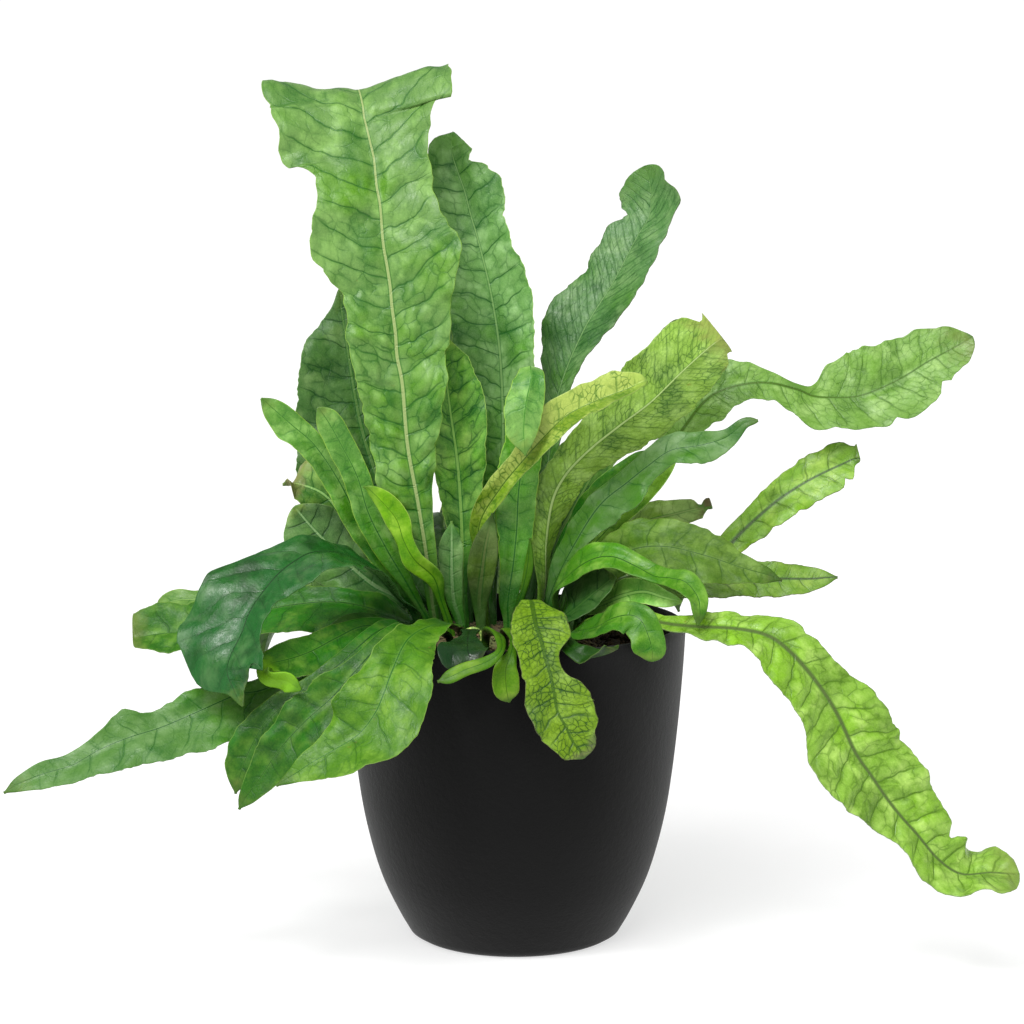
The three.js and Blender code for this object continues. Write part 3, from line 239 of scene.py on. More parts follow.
        stations=[[-17, -39, 166, 3, 3], [-17, -43, 184, 3, 3], [-14, -66, 191, 4, 4],
        [-9, -94, 193, 3.5, 3.5], [-8, -115, 189, 2, 2.5], [-15, -120, 184, 3.5, 3.5],
        [-27, -123, 180, 3.5, 4.5], [-36, -124, 176, 3.5, 4], [-42, -124, 174, 1, 1]]),
    dict(name="lime_paddle", look="lime", facing=270, fold=8, ruffle=0.5, waves=2, tip=6, gain=0.72,
        stations=[[-6, -38, 166, 3, 3], [-6, -42, 184, 3, 3], [-2, -68, 192, 5.5, 5.5],
        [-1, -93, 191, 2, 2], [-2, -107, 186, 3, 3], [-5, -112, 179, 6.5, 6.5], [-5, -114, 171, 7.5, 7.5],
        [-4, -115, 164, 6, 6], [-3, -115, 161, 2, 2]]),
    dict(name="front_dark", look="dark", facing=265, fold=10, ruffle=1, waves=2, tip=6, gain=0.3,
        stations=[[-30, -40, 166, 3, 3], [-29, -44, 184, 3, 3], [-25, -66, 191, 5.5, 5.5],
        [-26, -84, 191, 4.5, 4.5], [-26, -106, 188, 11, 15.5], [-24, -112, 184, 11, 14],
        [-21, -113, 180, 5, 5.5]]),
    dict(name="under_rim", look="rich", facing=290, twist=25, fold=10, ruffle=0.5, waves=2, tip=1,
        gain=0.45,
        stations=[[15, -36, 166, 3, 3], [15, -40, 179, 3, 3], [17, -58, 188, 6.5, 6.5],
        [24, -84, 192, 4.5, 4.5], [31, -108, 189, 5, 5], [39, -113, 186, 6.5, 7],
        [46, -115, 187, 10.5, 10.5], [52, -115, 189, 9.5, 9.5], [55, -116, 191, 6.5, 6.5]]),
    dict(name="right_lobed", look="fresh_deep", facing=320, twist=50, fold=10, ruffle=1, waves=3, tip=6,
        stations=[[26, -25, 166, 3, 3], [28, -29, 178, 3, 3], [34, -44, 186, 8, 8], [46, -60, 192, 12, 12],
        [55, -70, 199, 9, 11.5], [64, -76, 202, 8, 12.5], [70, -80, 200, 8.5, 11], [74, -84, 192, 9, 11],
        [76, -86, 184, 8, 10], [76, -87, 178, 6, 7]]),
    dict(name="long_right_droop", look="fresh", facing=320, twist=25, fold=8, ruffle=2, waves=7, tip=6,
        gain=1.35, notches=[(-1, 52, 5, 5)],
        stations=[[33, -20, 166, 3, 3], [36, -23, 184, 3, 3], [49, -37, 194, 6.5, 6.5],
        [66, -49, 196, 8.5, 10], [84, -59, 194, 7.5, 7.5], [104, -65, 193, 10.5, 11.5],
        [123, -70, 193, 13, 16.5], [141, -75, 190, 15.5, 21.5], [154, -80, 181, 16, 23],
        [168, -83, 165, 19.5, 24.5], [179, -86, 148, 25.5, 27], [189, -89, 127, 29.5, 32.5],
        [198, -91, 114, 28.5, 30], [207, -92, 101, 28.5, 22.5], [215, -93, 91, 27, 17],
        [224, -94, 81, 24.5, 15.5], [236, -95, 67, 19, 18.5], [249, -96, 59, 21, 16.5],
        [265, -97, 60, 20, 22], [281, -97, 59, 10.5, 12]]),
    dict(name="right_pale", look="pale", facing=325, twist=60, fold=10, ruffle=0.8, waves=3, tip=8,
        gain=2.4,
        stations=[[31, -12, 166, 3, 3], [32, -12, 184, 3, 3], [35, -10, 192, 6.5, 6.5],
        [49, -16, 197, 7.5, 7.5], [62, -23, 204, 11, 9], [74, -32, 208, 7.5, 8], [85, -39, 206, 4.5, 6.5],
        [95, -43, 204, 2.5, 3]]),
    dict(name="right_wavy", look="fresh_deep", facing=345, twist=45, fold=10, ruffle=1, waves=3, tip=8,
        stations=[[26, -3, 166, 3, 3], [26, -4, 184, 3, 3], [24, -9, 203, 6.5, 6.5],
        [32, -16, 215, 10.5, 10.5], [44, -24, 225, 11, 9.5], [56, -31, 228, 9, 9.5], [68, -38, 224, 8, 8],
        [79, -46, 219, 7.5, 4.5], [88, -53, 219, 6, 6], [96, -60, 218, 8, 9], [102, -66, 211, 6.5, 8.5],
        [103, -71, 204, 4.5, 6.5], [102, -74, 196, 2, 2]]),
    dict(name="right_broad", look="olive_fresh", facing=350, twist=60, fold=8, ruffle=1.5, waves=3, tip=10,
        gain=0.85,
        stations=[[37, 1, 166, 3, 3], [37, 1, 184, 3, 3], [38, 2, 204, 6.5, 6.5], [51, -3, 217, 12, 12],
        [68, -10, 229, 16.5, 15.5], [87, -17, 232, 18, 17.5], [109, -24, 228, 14.5, 19.5],
        [129, -29, 222, 8.5, 12], [144, -32, 218, 4.5, 6], [153, -34, 215, 1, 1]]),
    dict(name="right_low", look="fresh_flat", facing=5, twist=55, fold=8, ruffle=1, waves=3, tip=8,
        gain=0.85,
        stations=[[40, 13, 166, 3, 3], [43, 13, 184, 3, 3], [50, 12, 200, 6, 6], [80, 11, 205, 9.5, 9.5],
        [109, 10, 207, 10.5, 11.5], [135, 9, 209, 11.5, 13], [159, 9, 209, 10, 12.5], [175, 9, 209, 8, 8.5],
        [190, 9, 210, 1.5, 1.5]]),
    dict(name="right_torn", look="fresh_flat", facing=5, twist=60, fold=8, ruffle=1.5, waves=4, tip=1,
        gain=1.1, notches=[(-1, 3, 3, 4), (1, 14, 2.5, 5)],
        stations=[[36, 25, 166, 3, 3], [40, 25, 184, 3, 3], [63, 27, 201, 5.5, 5.5], [98, 30, 206, 7, 7],
        [121, 31, 219, 7.5, 6], [137, 33, 235, 8.5, 11], [155, 34, 251, 10.5, 14.5],
        [170, 36, 261, 12.5, 15.5], [183, 37, 268, 14, 15.5], [194, 38, 273, 14, 14.5],
        [201, 39, 276, 12.5, 5], [206, 39, 277, 11, 2]]),
    dict(name="right_brown", look="brown", facing=25, twist=45, fold=10, ruffle=1.5, waves=4, tip=1,
        gain=2.3, notches=[(1, 2, 6, 9), (-1, 7, 3, 5)],
        stations=[[24, 36, 166, 3, 3], [27, 36, 184, 3, 3], [36, 37, 204, 4.5, 4.5], [57, 41, 223, 9, 9],
        [78, 45, 237, 11.5, 10.5], [96, 48, 242, 10, 10], [110, 50, 245, 7, 8.5],
        [119, 51, 246, 6.5, 9.5]]),
    dict(name="grey_wavy", look="grey_smooth", facing=15, twist=55, fold=10, ruffle=1.5, waves=5, tip=6,
        stations=[[19, 8, 166, 3, 3], [20, 8, 184, 3, 3], [23, 8, 202, 6, 6], [33, 8, 225, 9.5, 7],
        [49, 6, 252, 8, 14], [66, 4, 267, 8, 15.5], [78, 2, 277, 8, 9], [91, 1, 286, 10.5, 10],
        [108, 0, 289, 8.5, 14], [123, -1, 294, 5, 7.5], [133, -2, 302, 3.5, 3.5], [141, -3, 304, 2, 2.5]]),
    dict(name="right_net_back", look="net_back", facing=0, twist=-75, fold=8, ruffle=1.5, waves=4, tip=1,
        gain=1.55, notches=[(1, 5, 4, 6), (-1, 3, 3, 5)],
        stations=[[13, 17, 166, 3, 3], [14, 17, 184, 3, 3], [17, 17, 207, 6.5, 6.5], [18, 16, 231, 10, 9.5],
        [22, 15, 255, 13.5, 12], [30, 13, 271, 14.5, 12.5], [44, 11, 286, 17.5, 15], [61, 9, 300, 20, 22.5],
        [79, 7, 314, 22.5, 26], [96, 5, 331, 22.5, 26], [111, 3, 345, 18.5, 23.5], [120, 2, 352, 15, 19]]),
    dict(name="right_far", look="pale_net", facing=10, twist=60, fold=8, ruffle=1.5, waves=5, tip=12,
        notches=[(1, 30, 5, 5), (1, 62, 4, 4)],
        stations=[[33, 18, 166, 3, 3], [34, 19, 184, 3, 3], [37, 22, 212, 5.5, 5.5],
        [62, 29, 241, 6.5, 6.5], [83, 34, 269, 7.5, 7.5], [101, 37, 296, 11, 10], [115, 38, 313, 16, 17],
        [131, 39, 320, 17.5, 13], [149, 40, 322, 8.5, 11], [167, 41, 318, 4, 15], [177, 42, 314, 8, 21.5],
        [188, 43, 313, 22.5, 21.5], [206, 44, 314, 28, 23.5], [228, 45, 323, 24.5, 26.5],
        [246, 46, 334, 21, 21], [261, 47, 342, 16, 13.5], [273, 47, 349, 6, 10]]),
    dict(name="right_behind", look="deep", facing=50, fold=10, ruffle=1.5, waves=4, tip=10, gain=1.1,
        stations=[[10, 43, 166, 3, 3], [12, 44, 184, 3, 3], [20, 48, 214, 4, 4], [39, 54, 250, 8, 8],
        [60, 60, 286, 13, 14.5], [82, 66, 317, 14, 19.5], [94, 70, 341, 11, 14], [100, 72, 358, 7, 7.5]]),
    dict(name="right_bright", look="rich", facing=35, twist=30, fold=10, ruffle=1, waves=3, tip=8, gain=1.8,
        stations=[[15, 27, 166, 3, 3], [17, 27, 184, 3, 3], [22, 28, 208, 4, 4], [35, 29, 232, 8, 8],
        [48, 30, 250, 10, 10], [61, 31, 265, 8.5, 10], [74, 31, 277, 5.5, 5.5], [81, 31, 283, 1.5, 1.5]]),
    dict(name="right_yellow", look="olive_fresh", facing=30, twist=35, fold=10, ruffle=1, waves=3, tip=8,
        gain=3.0,
        stations=[[28, 11, 166, 3, 3], [30, 12, 184, 3, 3], [38, 13, 215, 4, 4], [55, 16, 237, 6.5, 6.5],
        [74, 17, 257, 8, 7], [86, 17, 272, 7, 7], [92, 17, 283, 5, 5], [96, 17, 291, 1.5, 1.5]]),
    dict(name="yellow_twist", look="yellow_net", facing=40, twist=30, fold=35, ruffle=1, waves=3, tip=2,
        gain=1.1,
        stations=[[-15, 16, 166, 3, 3], [-16, 15, 184, 3, 3], [-19, 12, 217, 3, 3], [-20, 8, 242, 6.5, 6.5],
        [-9, -1, 263, 9, 8], [4, -8, 280, 8.5, 9], [16, -12, 294, 12.5, 12.5], [29, -14, 307, 13, 13.5],
        [44, -15, 315, 12.5, 15], [59, -16, 321, 14, 14], [71, -17, 326, 7.5, 6.5],
        [76, -17, 328, 3.5, 3.5]]),
    dict(name="centre_hooked", look="soft", facing=90, fold=8, ruffle=1, waves=4, tip=8, gain=1.45,
        stations=[[-4, 9, 166, 3, 3], [-4, 9, 184, 3, 3], [-4, 8, 197, 5.5, 5.5], [-1, 8, 218, 8, 7.5],
        [1, 9, 238, 11.5, 10], [2, 9, 259, 14, 11.5], [4, 9, 277, 14, 11.5], [6, 9, 297, 11.5, 10.5],
        [8, 8, 316, 9.5, 8], [9, 2, 331, 6.5, 5], [9, -8, 335, 6.5, 6.5], [9, -17, 329, 10, 8.5],
        [6, -22, 314, 11.5, 11], [5, -24, 300, 10.5, 8.5], [6, -25, 286, 1.5, 1.5]]),
    dict(name="left_lime_paddle", look="soft", facing=110, twist=-10, fold=12, ruffle=1, waves=4, tip=6,
        gain=1.25,
        stations=[[-55, 13, 166, 2.5, 2.5], [-56, 12, 184, 2.5, 2.5], [-57, 11, 191, 2.5, 2.5],
        [-69, 8, 209, 5.5, 5.5], [-81, 5, 228, 8, 7], [-93, 2, 249, 10, 9], [-103, 0, 269, 9.5, 7],
        [-116, -2, 289, 9.5, 6.5], [-129, -3, 301, 10.5, 7.5], [-139, -4, 310, 8, 6.5],
        [-147, -4, 317, 2, 2]]),
    dict(name="left_paddle", look="soft", facing=105, twist=-8, fold=12, ruffle=1, waves=4, tip=8,
        gain=1.25,
        stations=[[-50, 3, 166, 2.5, 2.5], [-51, 2, 184, 2.5, 2.5], [-55, 1, 193, 2.5, 2.5],
        [-64, -3, 210, 4.5, 4.5], [-75, -7, 230, 7.5, 7], [-85, -10, 251, 8.5, 7.5],
        [-91, -12, 272, 8.5, 7.5], [-99, -14, 289, 8.5, 8], [-107, -16, 304, 7.5, 8],
        [-113, -17, 313, 3.5, 4.5]]),
    dict(name="lime_curl", look="lime", facing=100, twist=-10, fold=15, ruffle=1, waves=2, tip=6, gain=1.2,
        stations=[[-36, -11, 166, 2.5, 2.5], [-38, -12, 184, 2.5, 2.5], [-43, -15, 201, 2.5, 2.5],
        [-47, -19, 215, 5.5, 5.5], [-58, -23, 226, 7, 5.5], [-64, -24, 237, 4.5, 6], [-68, -24, 249, 7, 8],
        [-76, -24, 259, 4.5, 7.5], [-83, -24, 266, 2.5, 3.5], [-87, -24, 268, 0.5, 0.5]]),
    dict(name="grey_centre", look="grey", facing=95, fold=10, ruffle=0.5, waves=2, tip=8, gain=1.9,
        stations=[[-31, 2, 166, 3, 3], [-32, 2, 184, 3, 3], [-36, 1, 198, 4.5, 5.5], [-37, -1, 215, 7, 6.5],
        [-37, -2, 231, 7.5, 6.5], [-37, -2, 245, 1, 1]]),
    dict(name="brown_centre", look="brown", facing=90, fold=10, ruffle=0.5, waves=2, tip=8, gain=1.15,
        stations=[[-20, 4, 166, 3, 3], [-20, 3, 184, 3, 3], [-21, 1, 198, 4.5, 5.5], [-19, -5, 217, 9, 8],
        [-17, -9, 232, 8, 7.5], [-13, -12, 251, 1, 1]]),
    dict(name="lime_sliver", look="lime", facing=60, fold=10, ruffle=0.3, waves=2, tip=6, gain=0.8,
        stations=[[6, -5, 166, 2, 2], [5, -5, 184, 2, 2], [2, -6, 192, 2, 2], [5, -8, 205, 2, 2.5],
        [8, -9, 220, 2.5, 3.5], [9, -9, 236, 0.5, 0.5]]),
    dict(name="right_shaded", look="shade", facing=320, twist=60, fold=8, ruffle=0.8, waves=2, tip=8,
        stations=[[18, -14, 166, 3, 3], [20, -15, 179, 3, 3], [26, -19, 188, 8, 8],
        [34, -22, 195, 18.5, 16], [43, -22, 203, 22, 13.5], [51, -24, 210, 17, 11], [58, -26, 216, 6, 6]]),
    dict(name="back_right_low", look="deep", facing=40, fold=10, ruffle=1.5, waves=3, tip=10,
        stations=[[30, 30, 166, 3, 3], [37, 39, 186, 3, 3], [52, 70, 212, 9, 9], [70, 90, 216, 15, 15],
        [86, 106, 204, 17, 17], [98, 118, 184, 10, 10], [104, 124, 170, 1, 1]]),
    dict(name="back_right", look="quilted", facing=66, fold=10, ruffle=2, waves=4, tip=10,
        stations=[[3, 50, 166, 3, 3], [9, 58, 188, 3, 3], [26, 82, 222, 10, 10], [42, 114, 234, 19, 19],
        [60, 148, 220, 22, 22], [74, 174, 184, 20, 20], [82, 188, 146, 12, 12], [84, 192, 124, 1, 1]]),
    dict(name="back_middle", look="deep", facing=92, fold=10, ruffle=2, waves=4, tip=10,
        stations=[[-13, 52, 166, 3, 3], [-14, 59, 190, 3, 3], [-18, 86, 226, 10, 10],
        [-22, 122, 240, 18, 18], [-24, 158, 228, 24, 24], [-26, 188, 192, 22, 22], [-24, 206, 150, 14, 14],
        [-22, 210, 126, 1, 1]]),
    dict(name="back_centre_left", look="quilted_deep", facing=116, fold=10, ruffle=2, waves=4, tip=10,
        stations=[[-34, 49, 166, 3, 3], [-38, 55, 188, 3, 3], [-50, 82, 218, 10, 10],
        [-64, 112, 228, 18, 18], [-78, 140, 212, 21, 21], [-88, 160, 178, 18, 18], [-92, 170, 148, 10, 10],
        [-93, 172, 132, 1, 1]]),
    dict(name="back_left_low", look="rich", facing=145, fold=10, ruffle=1.5, waves=4, tip=10,
        stations=[[-44, 46, 166, 3, 3], [-52, 53, 186, 3, 3], [-80, 63, 208, 10, 10],
        [-108, 80, 212, 18, 18], [-134, 94, 196, 20, 20], [-152, 104, 166, 15, 15],
        [-160, 108, 140, 1, 1]]),
    dict(name="back_young", look="lime", facing=80, fold=12, ruffle=0.8, waves=3, tip=8,
        stations=[[-3, 44, 166, 2.5, 2.5], [-2, 50, 190, 2.5, 2.5], [2, 64, 230, 7, 7],
        [8, 82, 262, 10, 10], [14, 98, 278, 8, 8], [18, 108, 280, 1, 1]]),
    dict(name="back_upright", look="quilted_deep", facing=105, fold=10, ruffle=1.5, waves=4, tip=10,
        stations=[[-27, 39, 166, 3, 3], [-28, 44, 190, 3, 3], [-32, 60, 240, 10, 10],
        [-38, 78, 292, 18, 18], [-46, 98, 334, 18, 18], [-54, 120, 352, 10, 10], [-58, 132, 350, 1, 1]]),
]

# Looks of the fronds. Colours are six hex digits as they appear on screen, and lengths are millimetres.
# cool, warm and light are the blade's tones, and vein darkens the side veins, the cells' net and deep
# patches; light and vein also give the cells their painted highlights and painted shade. rib is the
# midrib, rib_edge its shoulders and rib_width its half width. margin is the rim, under the lower face,
# and tip the end of the frond past tip_start, a share of its length. pitch is the distance between side
# veins, slope how far they lean to the tip, and cell the size of a cell. swell, quilt and pucker are the
# heights of broad waves, of the rows between side veins and of the cells. hollow paints shade onto the
# cells' borders. net, veins and cells are the strengths of the finest net, of the side veins and of the
# cells, and cells also sets the painted highlight on each cell's raised middle. gloss is about the middle
# of the roughness, and shine the specular level. Aged patches show where a noise is over age. half pales
# the left half towards the tip, and calm is how far relief and cells fade there.
DEFAULT_LOOK = dict(cool="6c9657", warm="5f9436", light="93b97b", vein="356a33", rib="8fb46e",
    rib_edge="3a6b36", margin="a9c86c", under="7f9f62", tip="7f9552", tip_start=0.93, pitch=17, slope=0.4,
    cell=9, swell=2.0, quilt=0.5, pucker=0.5, hollow_shade=0.12, net=0.2, veins=0.8, cells=0.5, gloss=0.45,
    age=0.73, rib_width=1.2, half=0.0, calm=0.0, shine=0.26)
LOOKS = {
    "quilted": dict(cool="7ba35f", warm="6fa534", light="9ecb74", vein="427436", rib="b4c884",
        rib_edge="4a8040", margin="a8d05e", pucker=1.2, quilt=1.2, hollow_shade=0.3, cells=0.62, swell=5.0,
        calm=0.65, rib_width=1.05),
    "quilted_deep": dict(vein="366432", tip="6f9a54", rib="7ea266", pucker=0.8, cell=8, quilt=0.9,
        hollow_shade=0.25, cells=0.55, swell=4.0, calm=0.3, rib_width=0.8),
    "fine_deep": dict(cool="68955a", warm="5c9138", light="8bb274", vein="3a6638", rib="86ad6e",
        rib_edge="3f6c3a", margin="7a8a5c", tip="6f9a54", pitch=8, slope=1.1, cell=4.5, pucker=0.25,
        quilt=0.35, hollow_shade=0.15, net=0.25, veins=0.5, cells=0.45, rib_width=0.6),
    "deep": dict(cool="5f8c48", warm="5c9130", light="8bb05c", vein="2f5c2a", rib="7fa45a", slope=0.6,
        pucker=0.9, quilt=0.9, hollow_shade=0.35, net=0.3, cells=0.7, swell=4.0, rib_width=1.0),
    # Painted shade: darker tones for fronds lying behind or under others, such as back_left and right_shaded
    "shade": dict(cool="587c4b", warm="507a38", light="7a9a61", vein="34583a", rib="6a8c54",
        margin="80a060"),
    "olive": dict(cool="6f8f4e", warm="6b9040", light="84a45c", vein="3f6336", tip="7f7c56", tip_start=0.88,
        gloss=0.5),
    "grey": dict(cool="668a54", warm="5d8546", light="8aa870", vein="2c5134", rib="86a372", margin="8fae70",
        pitch=10, cells=0.2),
    "dark": dict(cool="3f7644", warm="3a7434", light="62905a", vein="255030", rib="24502c",
        rib_edge="4a7c4c", margin="5f8a54", quilt=0.8, pucker=0.1, slope=0.7, gloss=0.36, net=0.1,
        veins=0.3, cells=0.12, rib_width=0.6, swell=3.0),
    "grey_smooth": dict(cool="67934f", warm="5f963c", light="81a86a", vein="3c6e38", rib="3f6c3a",
        rib_edge="7da266", margin="7fa562", quilt=0.5, pucker=0.1, slope=0.6, gloss=0.44, net=0.1,
        veins=0.6, cells=0.3, pitch=20, cell=12, rib_width=0.5, shine=0.22, swell=3.0),
    "rich": dict(cool="4a7c30", warm="468a1a", light="76a44c", vein="2c5c22", rib="336426",
        rib_edge="6c9c46", margin="96b964", quilt=0.6, pucker=0.25, net=0.12, veins=0.5, cells=0.2,
        rib_width=0.5, shine=0.17, swell=3.0),
    "rich_curl": dict(cool="4b7a30", warm="46801f", light="74a04c", vein="2c5c22", rib="336426",
        rib_edge="6c9c46", margin="96b964", tip="8fc646", tip_start=0.72, quilt=0.3, pucker=0.15, net=0.12,
        veins=0.5, cells=0.2, rib_width=0.5, shine=0.17),
    "pale": dict(cool="76a052", warm="78ac46", light="a4cb75", vein="4c8240", rib="8fb868", margin="c4dc8c",
        pucker=0.1, quilt=0.2, cells=0.2),
    "fresh": dict(cool="86b04e", warm="88bc32", light="b8dc76", vein="5c7c3c", rib="62724c",
        rib_edge="66884a", margin="82946a", pitch=15, slope=0.35, cell=10, pucker=0.6, quilt=1.6,
        hollow_shade=0.25, net=0.15, veins=0.85, gloss=0.36, rib_width=1.3),
    "fresh_flat": dict(cool="84b44a", warm="88bf34", light="b2d868", vein="587835", rib="5c704a",
        rib_edge="5d8848", margin="7c7a58", tip="7c6c5c", tip_start=0.97, pitch=16, slope=0.5, cell=8,
        pucker=0.2, quilt=0.5, hollow_shade=0.1, net=0.25, veins=0.7, cells=0.35, gloss=0.4, rib_width=1.1,
        swell=3.0),
    "fresh_deep": dict(cool="5f9438", warm="5f9e24", light="93c45a", vein="3f7430", rib="3a662e",
        rib_edge="7cae4c", margin="7d9c58", pitch=15, cell=11, pucker=0.25, quilt=0.8, net=0.15, veins=0.5,
        cells=0.2, gloss=0.4, rib_width=0.5, shine=0.18, swell=4.0),
    "fresh_net": dict(cool="65983e", warm="6aa42a", light="90bf52", vein="47742e", rib="467a34",
        rib_edge="7aac50", margin="a9cf6c", age=0.68, quilt=0.7, pucker=0.15, net=0.25, veins=0.6,
        cells=0.35, rib_width=0.55, shine=0.2, swell=3.0),
    "netted": dict(cool="7d9f3c", warm="86ae30", light="a6cc56", vein="3c5a22", rib="5b7a34",
        rib_edge="3f5c24", margin="746f60", tip="7c7864", tip_start=0.95, pitch=9, cell=3.4, pucker=0.2,
        quilt=0.2, net=0.4, veins=0.75, cells=0.75, gloss=0.45, rib_width=0.9, shine=0.18),
    "net_back": dict(cool="86a852", warm="8cb842", light="aed074", vein="436420", rib="b4cc86",
        rib_edge="5f8240", margin="8aa558", under="8fb450", tip="96a05a", pitch=10, slope=0.8, cell=3.6,
        pucker=0.2, quilt=0.3, net=0.3, veins=0.45, cells=0.62, rib_width=0.8),
    "pale_net": dict(cool="86b458", warm="8cc450", light="b0d880", vein="58803f", rib="60803f",
        rib_edge="6f9c50", margin="8fb868", pitch=14, slope=0.5, cell=5, pucker=0.15, quilt=0.5, net=0.3,
        veins=0.65, cells=0.5, gloss=0.42, rib_width=0.9, swell=3.0),
    "yellow_net": dict(cool="84a444", warm="8cb438", light="c6da74", vein="55822e", rib="5c7c34",
        rib_edge="a8c860", margin="b0c47c", tip="b4d268", pitch=12, cell=4.5, pucker=0.2, quilt=0.5,
        net=0.3, veins=0.6, cells=0.7, rib_width=0.6, half=0.9),
    "olive_fresh": dict(cool="6c8f42", warm="6d9a32", light="97bd60", vein="42662c", rib="4f7436",
        rib_edge="86aa58", margin="84a054", tip="6f6d4c", pucker=0.1, quilt=0.5, veins=0.55, cells=0.3,
        gloss=0.52, rib_width=0.5, shine=0.16),
    "lime": dict(cool="76ac2c", warm="86c022", light="aad655", vein="4c8426", rib="4f7c28",
        rib_edge="90bc3c", margin="c2da72", pucker=0.05, quilt=0.15, net=0.1, veins=0.35, cells=0.2,
        gloss=0.44, rib_width=0.4, shine=0.12),
    "soft": dict(cool="64954a", warm="5f9c34", light="96c46c", vein="3a7030", rib="3c7030",
        rib_edge="80b058", margin="b0d45c", pucker=0.1, quilt=0.5, net=0.2, veins=0.5, cells=0.3,
        gloss=0.38, rib_width=0.5, swell=3.0),
    "brown": dict(cool="768c56", warm="6f8c42", light="94aa6c", vein="4a5c36", rib="7c8c5a",
        margin="6c7454", tip="50443a", tip_start=0.9, pucker=0.2, veins=0.4, cells=0.3, gloss=0.55),
}
LEAF_GAIN = 0.66
GLOSS_VEIL = 0.028
DARKEST = 0.003
AGED = "8f8a4a"
STALK = "446f36"
# Painted shade on the foot of each frond, where it rises from the crowded crown
CROWN_SHADE = "2c5c3c"
CELL_RANDOMNESS = 0.75

rng = np.random.default_rng(SEED)


def linear(code, gain=1.0):
    """A colour given as six hex digits, in the linear values that sockets take, times a gain."""
    parts = [int(code[i:i + 2], 16) / 255 for i in (0, 2, 4)]
    values = [c / 12.92 if c <= 0.04045 else ((c + 0.055) / 1.055) ** 2.4 for c in parts]
    return (*(gain * v for v in values), 1.0)


def leaf_colour(code):
    """The surface colour that looks like this screen colour in the studio, less the veil of its gloss."""
    red, green, blue, alpha = linear(code, LEAF_GAIN)
    return (*(max(part - GLOSS_VEIL, DARKEST) for part in (red, green, blue)), alpha)


def smoothstep(low, high, x):
    share = np.clip((x - low) / (high - low), 0, 1)
    return share * share * (3 - 2 * share)


def mix(a, b, share):
    return a + (b - a) * share


# Node trees: the same helper builds shader trees and geometry trees

class Graph:
    """Adds nodes to a tree. Every argument may be a socket or a plain value."""

    def __init__(self, tree):
        self.tree = tree
        self.shader = tree.bl_idname == "ShaderNodeTree"

    def node(self, kind, **settings):
        node = self.tree.nodes.new(kind)
        for name, value in settings.items():
            setattr(node, name, value)
        return node

    def put(self, socket, value):
        if isinstance(value, bpy.types.NodeSocket):
            self.tree.links.new(value, socket)
        else:
            socket.default_value = value

    def math(self, operation, a, b=0.0):
        node = self.node("ShaderNodeMath", operation=operation)
        for socket, value in zip(node.inputs, (a, b)):
            self.put(socket, value)
        return node.outputs[0]

    def add(self, a, b):
        return self.math("ADD", a, b)

    def sub(self, a, b):
        return self.math("SUBTRACT", a, b)

    def mul(self, a, b):
        return self.math("MULTIPLY", a, b)

    def ramp(self, x, low, high, start=0.0, end=1.0):
        """Smooth step from start to end while x goes from low to high."""
        node = self.node("ShaderNodeMapRange", interpolation_type="SMOOTHSTEP")
        for socket, value in zip(node.inputs, (x, low, high, start, end)):
            self.put(socket, value)
        return node.outputs[0]

    def vector(self, x, y, z=0.0):
        node = self.node("ShaderNodeCombineXYZ")
        for socket, value in zip(node.inputs, (x, y, z)):
            self.put(socket, value)
        return node.outputs[0]

    def split(self, vector):
        node = self.node("ShaderNodeSeparateXYZ")
        self.put(node.inputs[0], vector)
        return node.outputs

    def object_place(self):
        return self.node("ShaderNodeTexCoord").outputs["Object"]

    def attribute(self, name):
        if self.shader:
            return self.node("ShaderNodeAttribute", attribute_name=name).outputs["Vector"]
        node = self.node("GeometryNodeInputNamedAttribute", data_type="FLOAT_VECTOR")
        node.inputs["Name"].default_value = name
        return node.outputs["Attribute"]

    def noise(self, vector, scale, detail=2.0, rough=0.5):
        node = self.node("ShaderNodeTexNoise", noise_dimensions="3D")
        self.put(node.inputs["Vector"], vector)
        self.put(node.inputs["Scale"], scale)
        self.put(node.inputs["Detail"], detail)
        self.put(node.inputs["Roughness"], rough)
        return node.outputs[0]

    def cells(self, vector, randomness, feature="DISTANCE_TO_EDGE"):
        node = self.node("ShaderNodeTexVoronoi", voronoi_dimensions="3D", feature=feature)
        self.put(node.inputs["Vector"], vector)
        self.put(node.inputs["Scale"], 1.0)
        self.put(node.inputs["Randomness"], randomness)
        if feature == "SMOOTH_F1":
            self.put(node.inputs["Smoothness"], 0.6)
        return node.outputs["Color" if feature == "F1" else "Distance"]

    def blend(self, a, b, share):
        """Colour a turns into colour b as share goes from 0 to 1."""
        node = self.node("ShaderNodeMix", data_type="RGBA", clamp_factor=True)
        self.put(node.inputs[0], share)
        self.put(node.inputs[6], a)
        self.put(node.inputs[7], b)
        return node.outputs[2]


